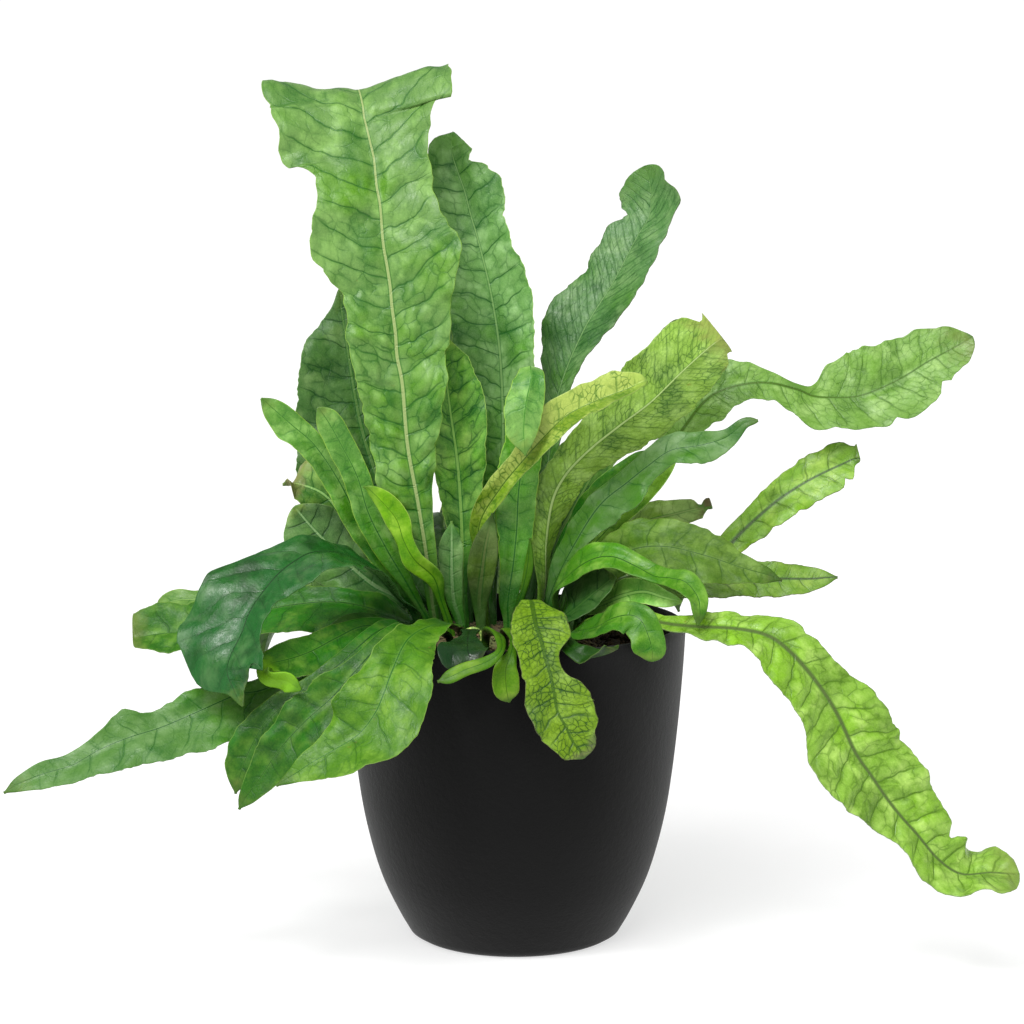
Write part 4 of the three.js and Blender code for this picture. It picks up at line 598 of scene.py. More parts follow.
def vein_field(graph, look):
    """Fields that veins, colours and relief share, from a frond's own lengths in millimetres."""
    along, across, inside = graph.split(graph.attribute("leaf"))
    share, face, seed = graph.split(graph.attribute("tone"))
    distance = graph.math("ABSOLUTE", across)
    side = graph.math("SIGN", across)
    offset = graph.mul(seed, 97.0)
    place = graph.vector(along, across, offset)
    wobble = graph.mul(graph.sub(graph.noise(place, 0.055, 2.0), 0.5), 0.7 * look["pitch"])
    curved = graph.add(distance, graph.mul(graph.mul(distance, distance), 0.006))
    lean = graph.mul(curved, look["slope"])
    shifted = graph.add(graph.sub(along, lean), graph.add(wobble, graph.mul(side, 0.2 * look["pitch"])))
    row = graph.math("DIVIDE", shifted, look["pitch"])
    lateral = graph.mul(graph.math("PINGPONG", row, 0.5), look["pitch"])
    rows = max(1, round(look["pitch"] / look["cell"]))
    jitter = graph.mul(graph.sub(graph.noise(place, 0.11, 2.0), 0.5), 1.5)
    column = graph.add(graph.math("DIVIDE", across, look["cell"]), jitter)
    grid = graph.vector(graph.mul(row, float(rows)), column, offset)
    lively = graph.ramp(share, 0.4, 0.7, 1.0, 1.0 - look["calm"])
    return dict(along=along, across=across, inside=inside, share=share, face=face, distance=distance,
        place=place, row=row, lateral=lateral, grid=grid, offset=offset, lively=lively)


def relief_height(graph, field, look):
    """Height of the blade over its middle sheet: broad swells, quilted rows and puckered cells."""
    pillow = graph.sub(0.55, graph.cells(field["grid"], CELL_RANDOMNESS, "SMOOTH_F1"))
    rows = graph.math("SINE", graph.mul(graph.math("PINGPONG", field["row"], 0.5), math.pi))
    swell = graph.sub(graph.noise(field["place"], 0.03, 2.0), 0.5)
    height = graph.add(graph.mul(pillow, 2.0 * look["pucker"]), graph.mul(rows, look["quilt"]))
    height = graph.mul(height, field["lively"])
    height = graph.add(height, graph.mul(swell, 2.0 * look["swell"]))
    beside_rib = graph.ramp(field["distance"], 0.8, 7.0)
    near_edge = graph.ramp(field["inside"], 0.0, 5.0, 0.5, 1.0)
    return graph.mul(graph.mul(height, beside_rib), near_edge)


def relief_group(name, look):
    tree = bpy.data.node_groups.new("relief_" + name, "GeometryNodeTree")
    tree.interface.new_socket(name="Geometry", in_out="INPUT", socket_type="NodeSocketGeometry")
    tree.interface.new_socket(name="Geometry", in_out="OUTPUT", socket_type="NodeSocketGeometry")
    graph = Graph(tree)
    start = graph.node("NodeGroupInput")
    end = graph.node("NodeGroupOutput")
    move = graph.node("GeometryNodeSetPosition")
    height = relief_height(graph, vein_field(graph, look), look)
    offset = graph.node("ShaderNodeVectorMath", operation="SCALE")
    graph.put(offset.inputs[0], graph.attribute("up"))
    graph.put(offset.inputs["Scale"], graph.mul(height, MM))
    graph.put(move.inputs["Geometry"], start.outputs[0])
    graph.put(move.inputs["Offset"], offset.outputs[0])
    graph.put(end.inputs[0], move.outputs[0])
    return tree


def new_material(name):
    material = bpy.data.materials.new(name)
    material.use_nodes = True
    graph = Graph(material.node_tree)
    shader = material.node_tree.nodes["Principled BSDF"]
    return material, graph, shader


def bump(graph, shader, height, strength, distance=MM):
    node = graph.node("ShaderNodeBump")
    node.inputs["Strength"].default_value = strength
    node.inputs["Distance"].default_value = distance
    graph.put(node.inputs["Height"], height)
    graph.put(shader.inputs["Normal"], node.outputs[0])


def vein_marks(graph, field, look):
    """Where the blade, its cells and its veins show, from 0 to 1. edge is the distance to a cell's border."""
    blade_width = graph.add(field["distance"], field["inside"])
    is_blade = graph.ramp(blade_width, 3.5, 8.0)
    edge = graph.mul(graph.cells(field["grid"], CELL_RANDOMNESS), look["cell"])
    patchy = graph.ramp(graph.noise(field["place"], 0.09, 2.0), 0.35, 0.6, 0.15, 1.0)
    thin = min(1.0, look["cell"] / 8)
    small_vein = graph.mul(graph.ramp(edge, 0.12 * thin, 0.6 * thin, 1.0, 0.0), patchy)
    fade = graph.ramp(field["inside"], 0.0, 9.0, 0.25, 1.0)
    big_vein = graph.mul(graph.ramp(field["lateral"], 0.15, 0.8, 1.0, 0.0), fade)
    halo = graph.mul(graph.ramp(field["lateral"], 0.3, 2.6, 0.25, 0.0), fade)
    on_cells = graph.mul(is_blade, field["lively"])
    return dict(blade_width=blade_width, is_blade=is_blade, on_cells=on_cells, edge=edge,
        small_vein=small_vein, big_vein=big_vein, halo=halo)


def leaf_ground(graph, field, look, tones):
    """The broad colours: cool to warm, the duller underside, light patches and deep ones."""
    rootward = graph.mul(graph.sub(0.45, field["share"]), 0.45)
    warmth = graph.add(graph.noise(field["place"], 0.03, 2.0), rootward)
    colour = graph.blend(tones["cool"], tones["warm"], graph.ramp(warmth, 0.38, 0.62))
    under = graph.ramp(field["face"], -0.5, 0.5, 0.6, 0.0)
    colour = graph.blend(colour, leaf_colour(look["under"]), under)
    mottle = graph.ramp(graph.noise(field["place"], 0.075, 4.0, 0.62), 0.44, 0.7)
    colour = graph.blend(colour, tones["light"], mottle)
    deep = graph.ramp(graph.noise(field["place"], 0.045, 3.0, 0.55), 0.48, 0.68, 0.0, 0.72)
    return graph.blend(colour, tones["vein"], deep)


def leaf_cells(graph, field, look, tones, marks, colour):
    """Each cell: a painted highlight on its middle, painted shade at its border, and a random tint."""
    # Painted highlight: the raised middle of each cell is blended towards the light tone
    dome_highlight = graph.ramp(marks["edge"], 0.2, 0.4 * look["cell"])
    lit = graph.mul(graph.mul(dome_highlight, look["cells"] * 0.3), marks["on_cells"])
    colour = graph.blend(colour, tones["light"], lit)
    # Painted shade: each cell's border is blended towards the vein tone, as if in shadow
    hollow_shade = graph.mul(graph.ramp(marks["edge"], 0.0, 0.3 * look["cell"], 1.0, 0.0), look["hollow_shade"])
    colour = graph.blend(colour, tones["vein"], graph.mul(hollow_shade, marks["on_cells"]))
    patch = graph.split(graph.cells(field["grid"], CELL_RANDOMNESS, "F1"))[0]
    shade = graph.mul(graph.ramp(patch, 0.3, 1.0), 0.5 * look["cells"])
    return graph.blend(colour, tones["cool"], graph.mul(shade, marks["on_cells"]))


def leaf_wear(graph, field, look, tones, colour):
    """Strokes along the blade, pale pores, aged patches and a paler left half."""
    stretched = graph.vector(graph.mul(field["along"], 0.25), field["across"], field["offset"])
    strokes = graph.noise(stretched, 0.5, 4.0, 0.6)
    colour = graph.blend(colour, tones["vein"], graph.ramp(strokes, 0.45, 0.85, 0.0, 0.3))
    pores = graph.ramp(graph.noise(field["place"], 1.3, 2.0), 0.35, 0.65, 0.0, 0.16)
    colour = graph.blend(colour, tones["light"], pores)
    beside = graph.vector(field["along"], field["across"], graph.add(field["offset"], 31.0))
    age = graph.ramp(graph.noise(beside, 0.06, 4.0, 0.6), look["age"], look["age"] + 0.05, 0.0, 0.7)
    colour = graph.blend(colour, leaf_colour(AGED), age)
    left_half = graph.ramp(field["across"], -0.5, 0.5, look["half"], 0.0)
    outer_end = graph.ramp(field["share"], 0.42, 0.55)
    return graph.blend(colour, tones["light"], graph.mul(left_half, outer_end))


def leaf_veins(graph, field, look, tones, marks, colour):
    """The finest net, the cells' net, and the side veins with a soft halo."""
    along = graph.mul(field["along"], 0.45)
    net_place = graph.vector(along, graph.mul(field["across"], 0.45), field["offset"])
    net = graph.ramp(graph.cells(net_place, 0.95), 0.02, 0.14, 1.0, 0.0)
    fine_net = graph.mul(graph.mul(net, 0.5 * look["net"]), marks["is_blade"])
    colour = graph.blend(colour, tones["vein"], fine_net)
    cell_net = graph.mul(graph.mul(marks["small_vein"], look["cells"]), marks["on_cells"])
    colour = graph.blend(colour, tones["vein"], cell_net)
    strokes = [graph.mul(marks[key], look["veins"]) for key in ("big_vein", "halo")]
    lines = graph.math("MAXIMUM", *strokes)
    return graph.blend(colour, tones["vein"], graph.mul(lines, marks["is_blade"]))


def leaf_borders(graph, field, look, marks, colour):
    """The midrib and its shoulders, the rim, the tip, the stalk and painted shade at its foot."""
    taper = graph.ramp(field["share"], 0.3, 1.0, 1.0, 0.45)
    rib_place = graph.math("DIVIDE", field["distance"], graph.mul(taper, look["rib_width"]))
    rib_edge = graph.mul(graph.ramp(rib_place, 1.2, 2.0, 1.0, 0.0), marks["is_blade"])
    colour = graph.blend(colour, leaf_colour(look["rib_edge"]), graph.mul(rib_edge, 0.7))
    rib = graph.ramp(rib_place, 0.7, 1.15, 1.0, 0.0)
    colour = graph.blend(colour, leaf_colour(look["rib"]), graph.mul(rib, 0.9))
    rim = graph.mul(graph.ramp(field["inside"], 0.1, 0.6, 1.0, 0.0), marks["is_blade"])
    colour = graph.blend(colour, leaf_colour(look["margin"]), graph.mul(rim, 0.55))
    ragged = graph.add(field["share"], graph.mul(graph.sub(graph.noise(field["place"], 0.2, 3.0), 0.5), 0.1))
    tip = graph.ramp(ragged, look["tip_start"], look["tip_start"] + 0.08, 0.0, 0.85)
    colour = graph.blend(colour, leaf_colour(look["tip"]), tip)
    stalk = graph.ramp(marks["blade_width"], 3.0, 6.5, 0.5, 0.0)
    colour = graph.blend(colour, leaf_colour(STALK), stalk)
    # Painted shade: each frond darkens most over its first 20 mm and less up to 85 mm from the crown
    foot = graph.ramp(field["along"], 20.0, 85.0, 0.6, 0.0)
    return graph.blend(colour, leaf_colour(CROWN_SHADE), foot)


def leaf_material(name, look):
    """Waxy blade with dark side veins, a cell net, a midrib, a pale margin and a duller underside."""
    material, graph, shader = new_material("leaf_" + name)
    field = vein_field(graph, look)
    tones = {key: leaf_colour(look[key]) for key in ("cool", "warm", "light", "vein")}
    marks = vein_marks(graph, field, look)
    colour = leaf_ground(graph, field, look, tones)
    colour = leaf_cells(graph, field, look, tones, marks, colour)
    colour = leaf_wear(graph, field, look, tones, colour)
    colour = leaf_veins(graph, field, look, tones, marks, colour)
    colour = leaf_borders(graph, field, look, marks, colour)
    # Per-frond gain: partly the frond's own tone, partly painted light on fronds in shade and painted shade
    # on others
    gain = graph.node("ShaderNodeVectorMath", operation="SCALE")
    graph.put(gain.inputs[0], colour)
    graph.put(gain.inputs["Scale"], graph.split(graph.attribute("depth"))[0])
    graph.put(shader.inputs["Base Color"], gain.outputs[0])
    spread = graph.noise(field["place"], 0.22, 4.0, 0.65)
    roughness = graph.ramp(spread, 0.3, 0.75, look["gloss"] - 0.16, look["gloss"] + 0.14)
    graph.put(shader.inputs["Roughness"], roughness)
    shader.inputs["Specular IOR Level"].default_value = look["shine"]
    fine = graph.mul(graph.noise(field["place"], 0.7, 3.0), 0.18)
    fine = graph.sub(fine, graph.mul(marks["small_vein"], 0.2 * look["cells"]))
    fine = graph.sub(fine, graph.mul(marks["big_vein"], 0.25 * look["veins"]))
    bump(graph, shader, fine, 1.0)
    return material


# Frond geometry

def spline(stations, t):
    """Catmull-Rom through all stations, at each value of t."""
    first = 2 * stations[0] - stations[1]
    after = 2 * stations[-1] - stations[-2]
    points = np.vstack([first, stations, after])
    i = np.minimum(t.astype(int), len(stations) - 2)
    f = (t - i)[:, None]
    a, b, c, d = (points[i + k] for k in range(4))
    return b + 0.5 * f * (c - a + f * (2 * a - 5 * b + 4 * c - d + f * (3 * (b - c) + d - a)))


def turn(vector, axis, degrees):
    """Vectors turned about unit axes that they stand square to."""
    angle = np.radians(degrees)[:, None]
    return vector * np.cos(angle) + np.cross(axis, vector) * np.sin(angle)


def unit(vectors):
    return vectors / np.linalg.norm(vectors, axis=1, keepdims=True)


def guide(row):
    """Centre line, side and upper directions and half widths of a frond, at close steps of its length."""
    stations = np.array(row["stations"], float)
    last = len(stations) - 1
    coarse = np.linspace(0, last, last * SPLINE_SAMPLES + 1)
    steps = np.linalg.norm(np.diff(spline(stations, coarse)[:, :3], axis=0), axis=1)
    lengths = np.concatenate([[0], np.cumsum(steps)])
    t = np.linspace(0, last, last * GUIDE_SAMPLES + 1)
    values = spline(stations, t)
    ahead = spline(stations, np.minimum(t + TANGENT_STEP, last))[:, :3]
    behind = spline(stations, np.maximum(t - TANGENT_STEP, 0))[:, :3]
    tangent = unit(ahead - behind)
    facing = math.radians(row["facing"])
    side = np.array([math.sin(facing), -math.cos(facing), 0.0]) * np.ones((len(t), 1))
    side = unit(side - tangent * np.sum(side * tangent, axis=1, keepdims=True))
    roll = values[:, 5] if stations.shape[1] > 5 else np.zeros(len(t))
    twisted = np.clip((t - TWIST_START) / TWIST_STATIONS, 0, 1)
    side = turn(side, tangent, roll + row.get("twist", 0) * twisted)
    normal = np.cross(side, tangent)
    return dict(length=np.interp(t, coarse, lengths), centre=values[:, :3], side=side, normal=normal,
        widths=values[:, 3:5], total=lengths[-1])


def along_guide(curve, key, length):
    """A guide's vectors or numbers at any lengths, in the same array shape."""
    table = curve[key]
    columns = [np.interp(length, curve["length"], table[:, i]) for i in range(table.shape[1])]
    return np.stack(columns, axis=-1)


def column_places(width, blade, count):
    """Distances from the midrib of a half blade's columns: close at the rib and at the margin."""
    even = np.linspace(0, 1, count + 1)
    stalk = width * even
    inner = RIB_COLUMNS[-1]
    steps = count - len(RIB_COLUMNS)
    between = inner + (width - MARGIN_STRIP - inner) * np.linspace(0, 1, steps + 1)[1:]
    spread = np.concatenate([np.ones((len(width), 1)) * RIB_COLUMNS, between, width], axis=1)
    return mix(stalk, spread, blade)


def ring_lengths(total, tip):
    body = np.arange(0, total - tip, RING_STEP)
    angles = np.linspace(0, np.pi / 2, max(6, int(tip / RING_STEP * 1.6)))
    return np.concatenate([body, total - tip + tip * np.sin(angles)])


def uneven(length, count, low, high):
    """A sum of a few waves of random length, between about -1 and 1."""
    total = np.zeros_like(length)
    for k in range(count):
        wave = rng.uniform(low, high)
        total += np.sin(2 * np.pi * length / wave + rng.uniform(0, 2 * np.pi))
    return total / count


def cut_width(row, side, left, width):
    """Half width with the frond's notches cut out of it, each at its distance from the tip."""
    for notch_side, place, breadth, depth in row.get("notches", []):
        if notch_side == side:
            width = width - depth * np.clip(1 - np.abs(left - place) / breadth, 0, 1) ** 0.8
    return np.maximum(width, TIP_WIDTH)


def half_blade(row, curve, length, side, count):
    """Positions, thickness and leaf coordinates of one half of a frond, from the midrib to the margin."""
    column = 0 if side < 0 else 1
    total = curve["total"]
    tip = row["tip"]
    left = total - length
    rounding = np.sqrt(np.clip(1 - ((tip - left) / tip) ** 2, 0, 1))
    rounding = np.where(left < tip, rounding, 1)
    width = np.interp(length, curve["length"], curve["widths"][:, column]) * rounding
    lobes = np.abs(uneven(length, 2, *LOBE_WAVES)) - 0.5
    rag = uneven(length, 3, *RAG_WAVES) * RAG_DEPTH + lobes * LOBE_DEPTH
    width = width + rag * smoothstep(*RAG_WIDTHS, width)
    width = cut_width(row, side, left, np.maximum(width, TIP_WIDTH))[:, None]
    blade = smoothstep(STALK_WIDTH, BLADE_WIDTH, width)
    across = column_places(width, blade, count)
    u = across / width
    share = (length / total)[:, None]
    thin = 1 - MIDRIB_THINNING * share
    phase = LEFT_WAVE_PHASE if side < 0 else RIGHT_WAVE_PHASE
    grown = np.minimum(1, width / FULL_WAVE_WIDTH) * blade
    wave = row["ruffle"] * grown * u ** 2 * np.sin(2 * np.pi * row["waves"] * share + phase)
    crimp = uneven(length, 3, *CRIMP_WAVES)[:, None] * CRIMP_HEIGHT * grown * np.abs(u) ** 3
    fold = math.radians(row["fold"])
    lift = across * math.sin(fold) + wave + crimp
    reach = side * across * math.cos(fold)
    ridge = np.exp(-((across / 1.5) ** 2)) * (MIDRIB_HALF * thin - BLADE_HALF)
    sheet = mix(BLADE_HALF, MARGIN_HALF, u ** 4)
    stalk = STALK_HALF * thin * np.sqrt(np.clip(1 - 0.95 * u ** 2, 0, 1))
    upper = mix(stalk, sheet + np.maximum(ridge, 0) * 0.8, blade)
    lower = mix(stalk, sheet + np.maximum(ridge, 0) * 1.2, blade)
    return dict(reach=reach, lift=lift, upper=upper, lower=lower, across=side * across, inside=width - across,
        weight=blade * np.ones_like(across))


def joined(left, right, key):
    """Columns of both halves from the left margin to the right one, with the midrib's column once."""
    return np.concatenate([left[key][:, :0:-1], right[key]], axis=1)


def grid_faces(rings, columns):
    """Quads of a closed blade: the upper sheet, the lower sheet, two margins and two ends."""
    k, j = np.meshgrid(np.arange(rings - 1), np.arange(columns - 1), indexing="ij")
    a = (k * columns + j).ravel()
    below = rings * columns
    top = np.stack([a, a + 1, a + 1 + columns, a + columns], axis=1)
    bottom = top[:, ::-1] + below
    r = np.arange(rings - 1) * columns
    left = np.stack([r, r + columns, r + columns + below, r + below], axis=1)
    e = r + columns - 1
    right = np.stack([e, e + below, e + below + columns, e + columns], axis=1)
    c = np.arange(columns - 1)
    start = np.stack([c, c + below, c + 1 + below, c + 1], axis=1)
    z = c + (rings - 1) * columns
    end = np.stack([z, z + 1, z + 1 + below, z + below], axis=1)
    return np.concatenate([top, bottom, left, right, start, end])


def ring_quads(rings, turns, flipped=False):
    """Quads between rings of points that go round an axis."""
    k, i = np.meshgrid(np.arange(rings - 1), np.arange(turns), indexing="ij")
    a = (k * turns + i).ravel()
    b = (k * turns + (i + 1) % turns).ravel()
    corners = [a, a + turns, b + turns, b] if flipped else [a, b, b + turns, a + turns]
    return np.stack(corners, axis=1)


def merged(parts):
    """Points and quads of several meshes as those of one."""
    points, quads = zip(*parts)
    starts = np.cumsum([0, *(len(part) for part in points[:-1])])
    return np.concatenate(points), np.concatenate([part + start for part, start in zip(quads, starts)])


def link_object(name, data):
    item = bpy.data.objects.new(name, data)
    bpy.context.scene.collection.objects.link(item)
    return item


def new_mesh(name, points, quads):
    """A mesh object from points in millimetres and an array of quads."""
    mesh = bpy.data.meshes.new(name)
    mesh.vertices.add(len(points))
    mesh.vertices.foreach_set("co", (points * MM).astype(np.float32).ravel())
    mesh.loops.add(quads.size)
    mesh.loops.foreach_set("vertex_index", quads.astype(np.int32).ravel())
    mesh.polygons.add(len(quads))
    mesh.polygons.foreach_set("loop_start", np.arange(0, quads.size, 4, dtype=np.int32))
    mesh.update(calc_edges=True)
    mesh.shade_smooth()
    return link_object(name, mesh)


def put_attribute(mesh, name, vectors):
    attribute = mesh.attributes.new(name, "FLOAT_VECTOR", "POINT")
    attribute.data.foreach_set("vector", vectors.astype(np.float32).ravel())


def frond_piece(row):
    """One frond as a closed sheet with its leaf coordinates stored on its points."""
    curve = guide(row)
    length = ring_lengths(curve["total"], row["tip"])
    count = int(np.clip(round(curve["widths"].max() / COLUMN_STEP) + len(RIB_COLUMNS), 8, MAX_COLUMNS))
    left = half_blade(row, curve, length, -1, count)
    right = half_blade(row, curve, length, 1, count)
    reach, lift, upper, lower = (joined(left, right, key) for key in ("reach", "lift", "upper", "lower"))
    across, inside, weight = (joined(left, right, key) for key in ("across", "inside", "weight"))
    parts = (along_guide(curve, key, length) for key in ("centre", "side", "normal"))
    centre, side, normal = (part[:, None, :] for part in parts)
    middle = centre + side * reach[..., None] + normal * lift[..., None]
    top = middle + normal * upper[..., None]
    bottom = middle - normal * lower[..., None]
    points = np.concatenate([top.reshape(-1, 3), bottom.reshape(-1, 3)])
    piece = new_mesh("leaf_" + row["name"], points, grid_faces(*reach.shape))
    along = np.broadcast_to(length[:, None], reach.shape)
    leaf = np.stack([along, across, inside], axis=-1).reshape(-1, 3)
    ones = np.ones(reach.size)
    seed = rng.uniform(0, 1)
    share = (along / curve["total"]).ravel()
    tone = [np.stack([share, ones * face, ones * seed], axis=-1) for face in (1, -1)]
    up = (normal * weight[..., None]).reshape(-1, 3)
    put_attribute(piece.data, "leaf", np.concatenate([leaf, leaf]))
    put_attribute(piece.data, "tone", np.concatenate(tone))
    put_attribute(piece.data, "up", np.concatenate([up, up]))
    # The frond's gain for the shader: partly its own tone, partly painted light and painted shade
    put_attribute(piece.data, "depth", np.full((len(points), 3), row.get("gain", 1.0)))
    return piece


def build_fronds():
    looks = {name: {**DEFAULT_LOOK, **look} for name, look in LOOKS.items()}
    materials = {name: leaf_material(name, look) for name, look in looks.items()}
    groups = {name: relief_group(name, look) for name, look in looks.items()}
    pieces = []
    for row in FRONDS:
        piece = frond_piece(row)
        piece.data.materials.append(materials[row["look"]])
        piece.modifiers.new("relief", "NODES").node_group = groups[row["look"]]
        pieces.append(piece)
    graph = bpy.context.evaluated_depsgraph_get()
    for piece, row in zip(pieces, FRONDS):
        smooth = piece.data
        piece.data = bpy.data.meshes.new_from_object(piece.evaluated_get(graph))
        piece.modifiers.clear()
        bpy.data.meshes.remove(smooth)
        finish_piece(piece, "frond_" + row["name"])


def finish_piece(piece, node):
    """The piece rides on the only body, and the node's own solid is hidden."""
    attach(piece, "root")
    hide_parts(node)


# Pot, potting mix, rhizome and the furled frond

def smooth_outline(points, steps):
    """More points on a Catmull-Rom curve through an outline."""
    stations = np.array(points, float)
    t = np.linspace(0, len(stations) - 1, (len(stations) - 1) * steps + 1)
    return spline(stations, t)


def turned(name, outline, turns):
    """A body turned about the Z axis from an outline that starts and ends on the axis."""
    rings = outline[1:-1]
    angles = np.linspace(0, 2 * np.pi, turns, endpoint=False)
    x = rings[:, :1] * np.cos(angles)
    y = rings[:, :1] * np.sin(angles)
    z = np.broadcast_to(rings[:, 1:], x.shape)
    points = np.stack([x, y, z], axis=-1).reshape(-1, 3)
    ends = [[0, 0, outline[0][1]], [0, 0, outline[-1][1]]]
    points = np.concatenate([points, ends])
    quads = ring_quads(len(rings), turns).tolist()
    first, last = len(points) - 2, len(points) - 1
    base = (len(rings) - 1) * turns
    fans = [(first, (i + 1) % turns, i) for i in range(turns)]
    fans += [(last, base + i, base + (i + 1) % turns) for i in range(turns)]
    mesh = bpy.data.meshes.new(name)
    mesh.from_pydata(points * MM, [], quads + fans)
    mesh.shade_smooth()
    return link_object(name, mesh)


def pot_material():
    """Near-black matt coating with a fine leathery grain."""
    material, graph, shader = new_material("pot_black")
    place = graph.object_place()
    cloud = graph.noise(place, 9.0, 4.0, 0.6)
    colour = graph.blend(linear("010101"), linear("040404"), cloud)
    graph.put(shader.inputs["Base Color"], colour)
    graph.put(shader.inputs["Roughness"], graph.ramp(cloud, 0.3, 0.7, 0.52, 0.62))
    shader.inputs["Specular IOR Level"].default_value = 0.05
    shader.inputs["Sheen Weight"].default_value = 0.13
    shader.inputs["Sheen Roughness"].default_value = 0.55
    grain = graph.noise(place, 900.0, 3.0, 0.6)
    dents = graph.noise(place, 260.0, 2.0)
    bump(graph, shader, graph.add(graph.mul(grain, 0.25), graph.mul(dents, 0.3)), 0.6)
    return material


def build_pot():
    radius, height, wall = POT_RADIUS, POT_HEIGHT, POT_WALL
    outer = smooth_outline(OUTER_WALL[1:], 5)
    inner = smooth_outline(INNER_WALL, 4)
    middle = radius - wall / 2
    arc = [[middle + wall / 2 * math.cos(a), height - LIP_HEIGHT + LIP_HEIGHT * math.sin(a)]
        for a in np.linspace(0, math.pi, 13)[1:-1]]
    foot = [[0, 0], [OUTER_WALL[0][0] - 1, 0], [OUTER_WALL[0][0] + 0.8, 0.25]]
    outline = np.array([*foot, *outer, *arc, *inner, [0, POT_FLOOR]])
    piece = turned("pot", outline, POT_TURNS)
    piece.data.materials.append(pot_material())
    finish_piece(piece, "planter")


def soil_material():
    material, graph, shader = new_material("potting_mix_dark")
    place = graph.object_place()
    grit = graph.noise(place, 220.0, 4.0, 0.65)
    chunk = graph.noise(place, 45.0, 2.0)
    colour = graph.blend(linear("1f1611"), linear("4a382a"), graph.ramp(grit, 0.35, 0.7))
    colour = graph.blend(colour, linear("0f0b08"), graph.ramp(chunk, 0.5, 0.75, 0.0, 0.7))
    graph.put(shader.inputs["Base Color"], colour)
    shader.inputs["Roughness"].default_value = 0.92
    shader.inputs["Specular IOR Level"].default_value = 0.2
    bump(graph, shader, grit, 1.0, 1.5 * MM)
    return material


def rhizome_radius(angle):
    """Share of the rhizome's half widths at an angle round it."""
    return 1 + 0.035 * np.sin(5 * angle + 1) + 0.02 * np.sin(9 * angle)


def inside_rhizome(x, y):
    """1 at the rhizome's outline, less inside it."""
    dx = (x - RHIZOME["x"]) / RHIZOME["half_width"]
    dy = (y - RHIZOME["y"]) / RHIZOME["half_depth"]
    return np.hypot(dx, dy) / rhizome_radius(np.arctan2(dy, dx))


def crumb(centre, size):
    """A rough lump of bark: a ball of rings, squashed and dented at random. Returns its points and quads."""
    rings, turns = 5, 8
    tilt = np.linspace(0.12, np.pi - 0.12, rings)
    spin = np.linspace(0, 2 * np.pi, turns, endpoint=False)
    radius = rng.uniform(0.72, 1.12, (rings, turns))
    x = radius * np.sin(tilt)[:, None] * np.cos(spin) * size * rng.uniform(0.8, 1.5)
    y = radius * np.sin(tilt)[:, None] * np.sin(spin) * size * rng.uniform(0.6, 1.0)
    z = radius * np.cos(tilt)[:, None] * np.ones(turns) * size * rng.uniform(0.4, 0.8)
    heading = rng.uniform(0, 2 * np.pi)
    c, s = math.cos(heading), math.sin(heading)
    points = np.stack([c * x - s * y, s * x + c * y, z], axis=-1).reshape(-1, 3) + centre
    quads = ring_quads(rings, turns, flipped=True)
    last = (rings - 1) * turns
    caps = [[0, i + 1, i + 2, i + 3] for i in (0, 2, 4)]
    caps += [[last, last + i + 3, last + i + 2, last + i + 1] for i in (0, 2, 4)]
    return points, np.concatenate([quads, caps])


def soil_height(x, y):
    """Top of the potting mix: the solid's crown, uneven, with a pocket for the rhizome."""
    radius = np.hypot(x, y)
    height = MIX_TOP + MIX_CROWN * (1 - smoothstep(MIX_CROWN_RADIUS, MIX_RADIUS, radius))
    waves = np.sin(x / 5.1 + 1) * np.sin(y / 4.3) + 0.6 * np.sin(x / 2.3 + y / 3.1)
    height = height + 0.5 * waves
    pocket = smoothstep(0.92, 0.99, inside_rhizome(x, y))
    return mix(RHIZOME["bottom"] - 0.5, height, pocket)


def build_mix():
    angles = np.linspace(0, 2 * np.pi, MIX_TURNS, endpoint=False)
    radii = np.linspace(0.8, MIX_RADIUS, MIX_RINGS)
    x = radii[:, None] * np.cos(angles)
    y = radii[:, None] * np.sin(angles)
    z = soil_height(x, y)
    wall = (MIX_RADIUS - 0.5) * np.stack([np.cos(angles), np.sin(angles)], axis=-1)
    bottom = np.full((MIX_TURNS, 1), MIX_TOP - MIX_DEPTH)
    under = np.concatenate([wall, bottom], axis=1)[None]
    centre = np.concatenate([wall * 0.01, bottom], axis=1)[None]
    sheet = np.concatenate([np.stack([x, y, z], axis=-1), under, centre])
    parts = [(sheet.reshape(-1, 3), ring_quads(len(sheet), MIX_TURNS, flipped=True))]
    for _ in range(CRUMB_COUNT):
        angle = rng.uniform(0, 2 * np.pi)
        radius = CRUMB_REACH * math.sqrt(rng.uniform(0, 1))
        px, py = radius * math.cos(angle), radius * math.sin(angle)
        if inside_rhizome(px, py) < 1.03:
            continue
        size = rng.uniform(*CRUMB_SIZES)
        parts.append(crumb(np.array([px, py, soil_height(px, py) + 0.25 * size]), size))
    piece = new_mesh("mix_surface", *merged(parts))
    piece.data.materials.append(soil_material())
    finish_piece(piece, "potting_mix")


def rhizome_material():
    material, graph, shader = new_material("rhizome_scaly")
    place = graph.object_place()
    scaly = graph.noise(place, 260.0, 3.0, 0.6)
    colour = graph.blend(linear("3a2d1e"), linear("7c6a45"), graph.ramp(scaly, 0.35, 0.72))
    moss = graph.noise(place, 38.0, 3.0, 0.6)
    colour = graph.blend(colour, linear("4f5d2a"), graph.ramp(moss, 0.5, 0.7, 0.0, 0.8))
    graph.put(shader.inputs["Base Color"], colour)
    shader.inputs["Roughness"].default_value = 0.85
    bump(graph, shader, scaly, 1.0, 0.8 * MM)
    return material


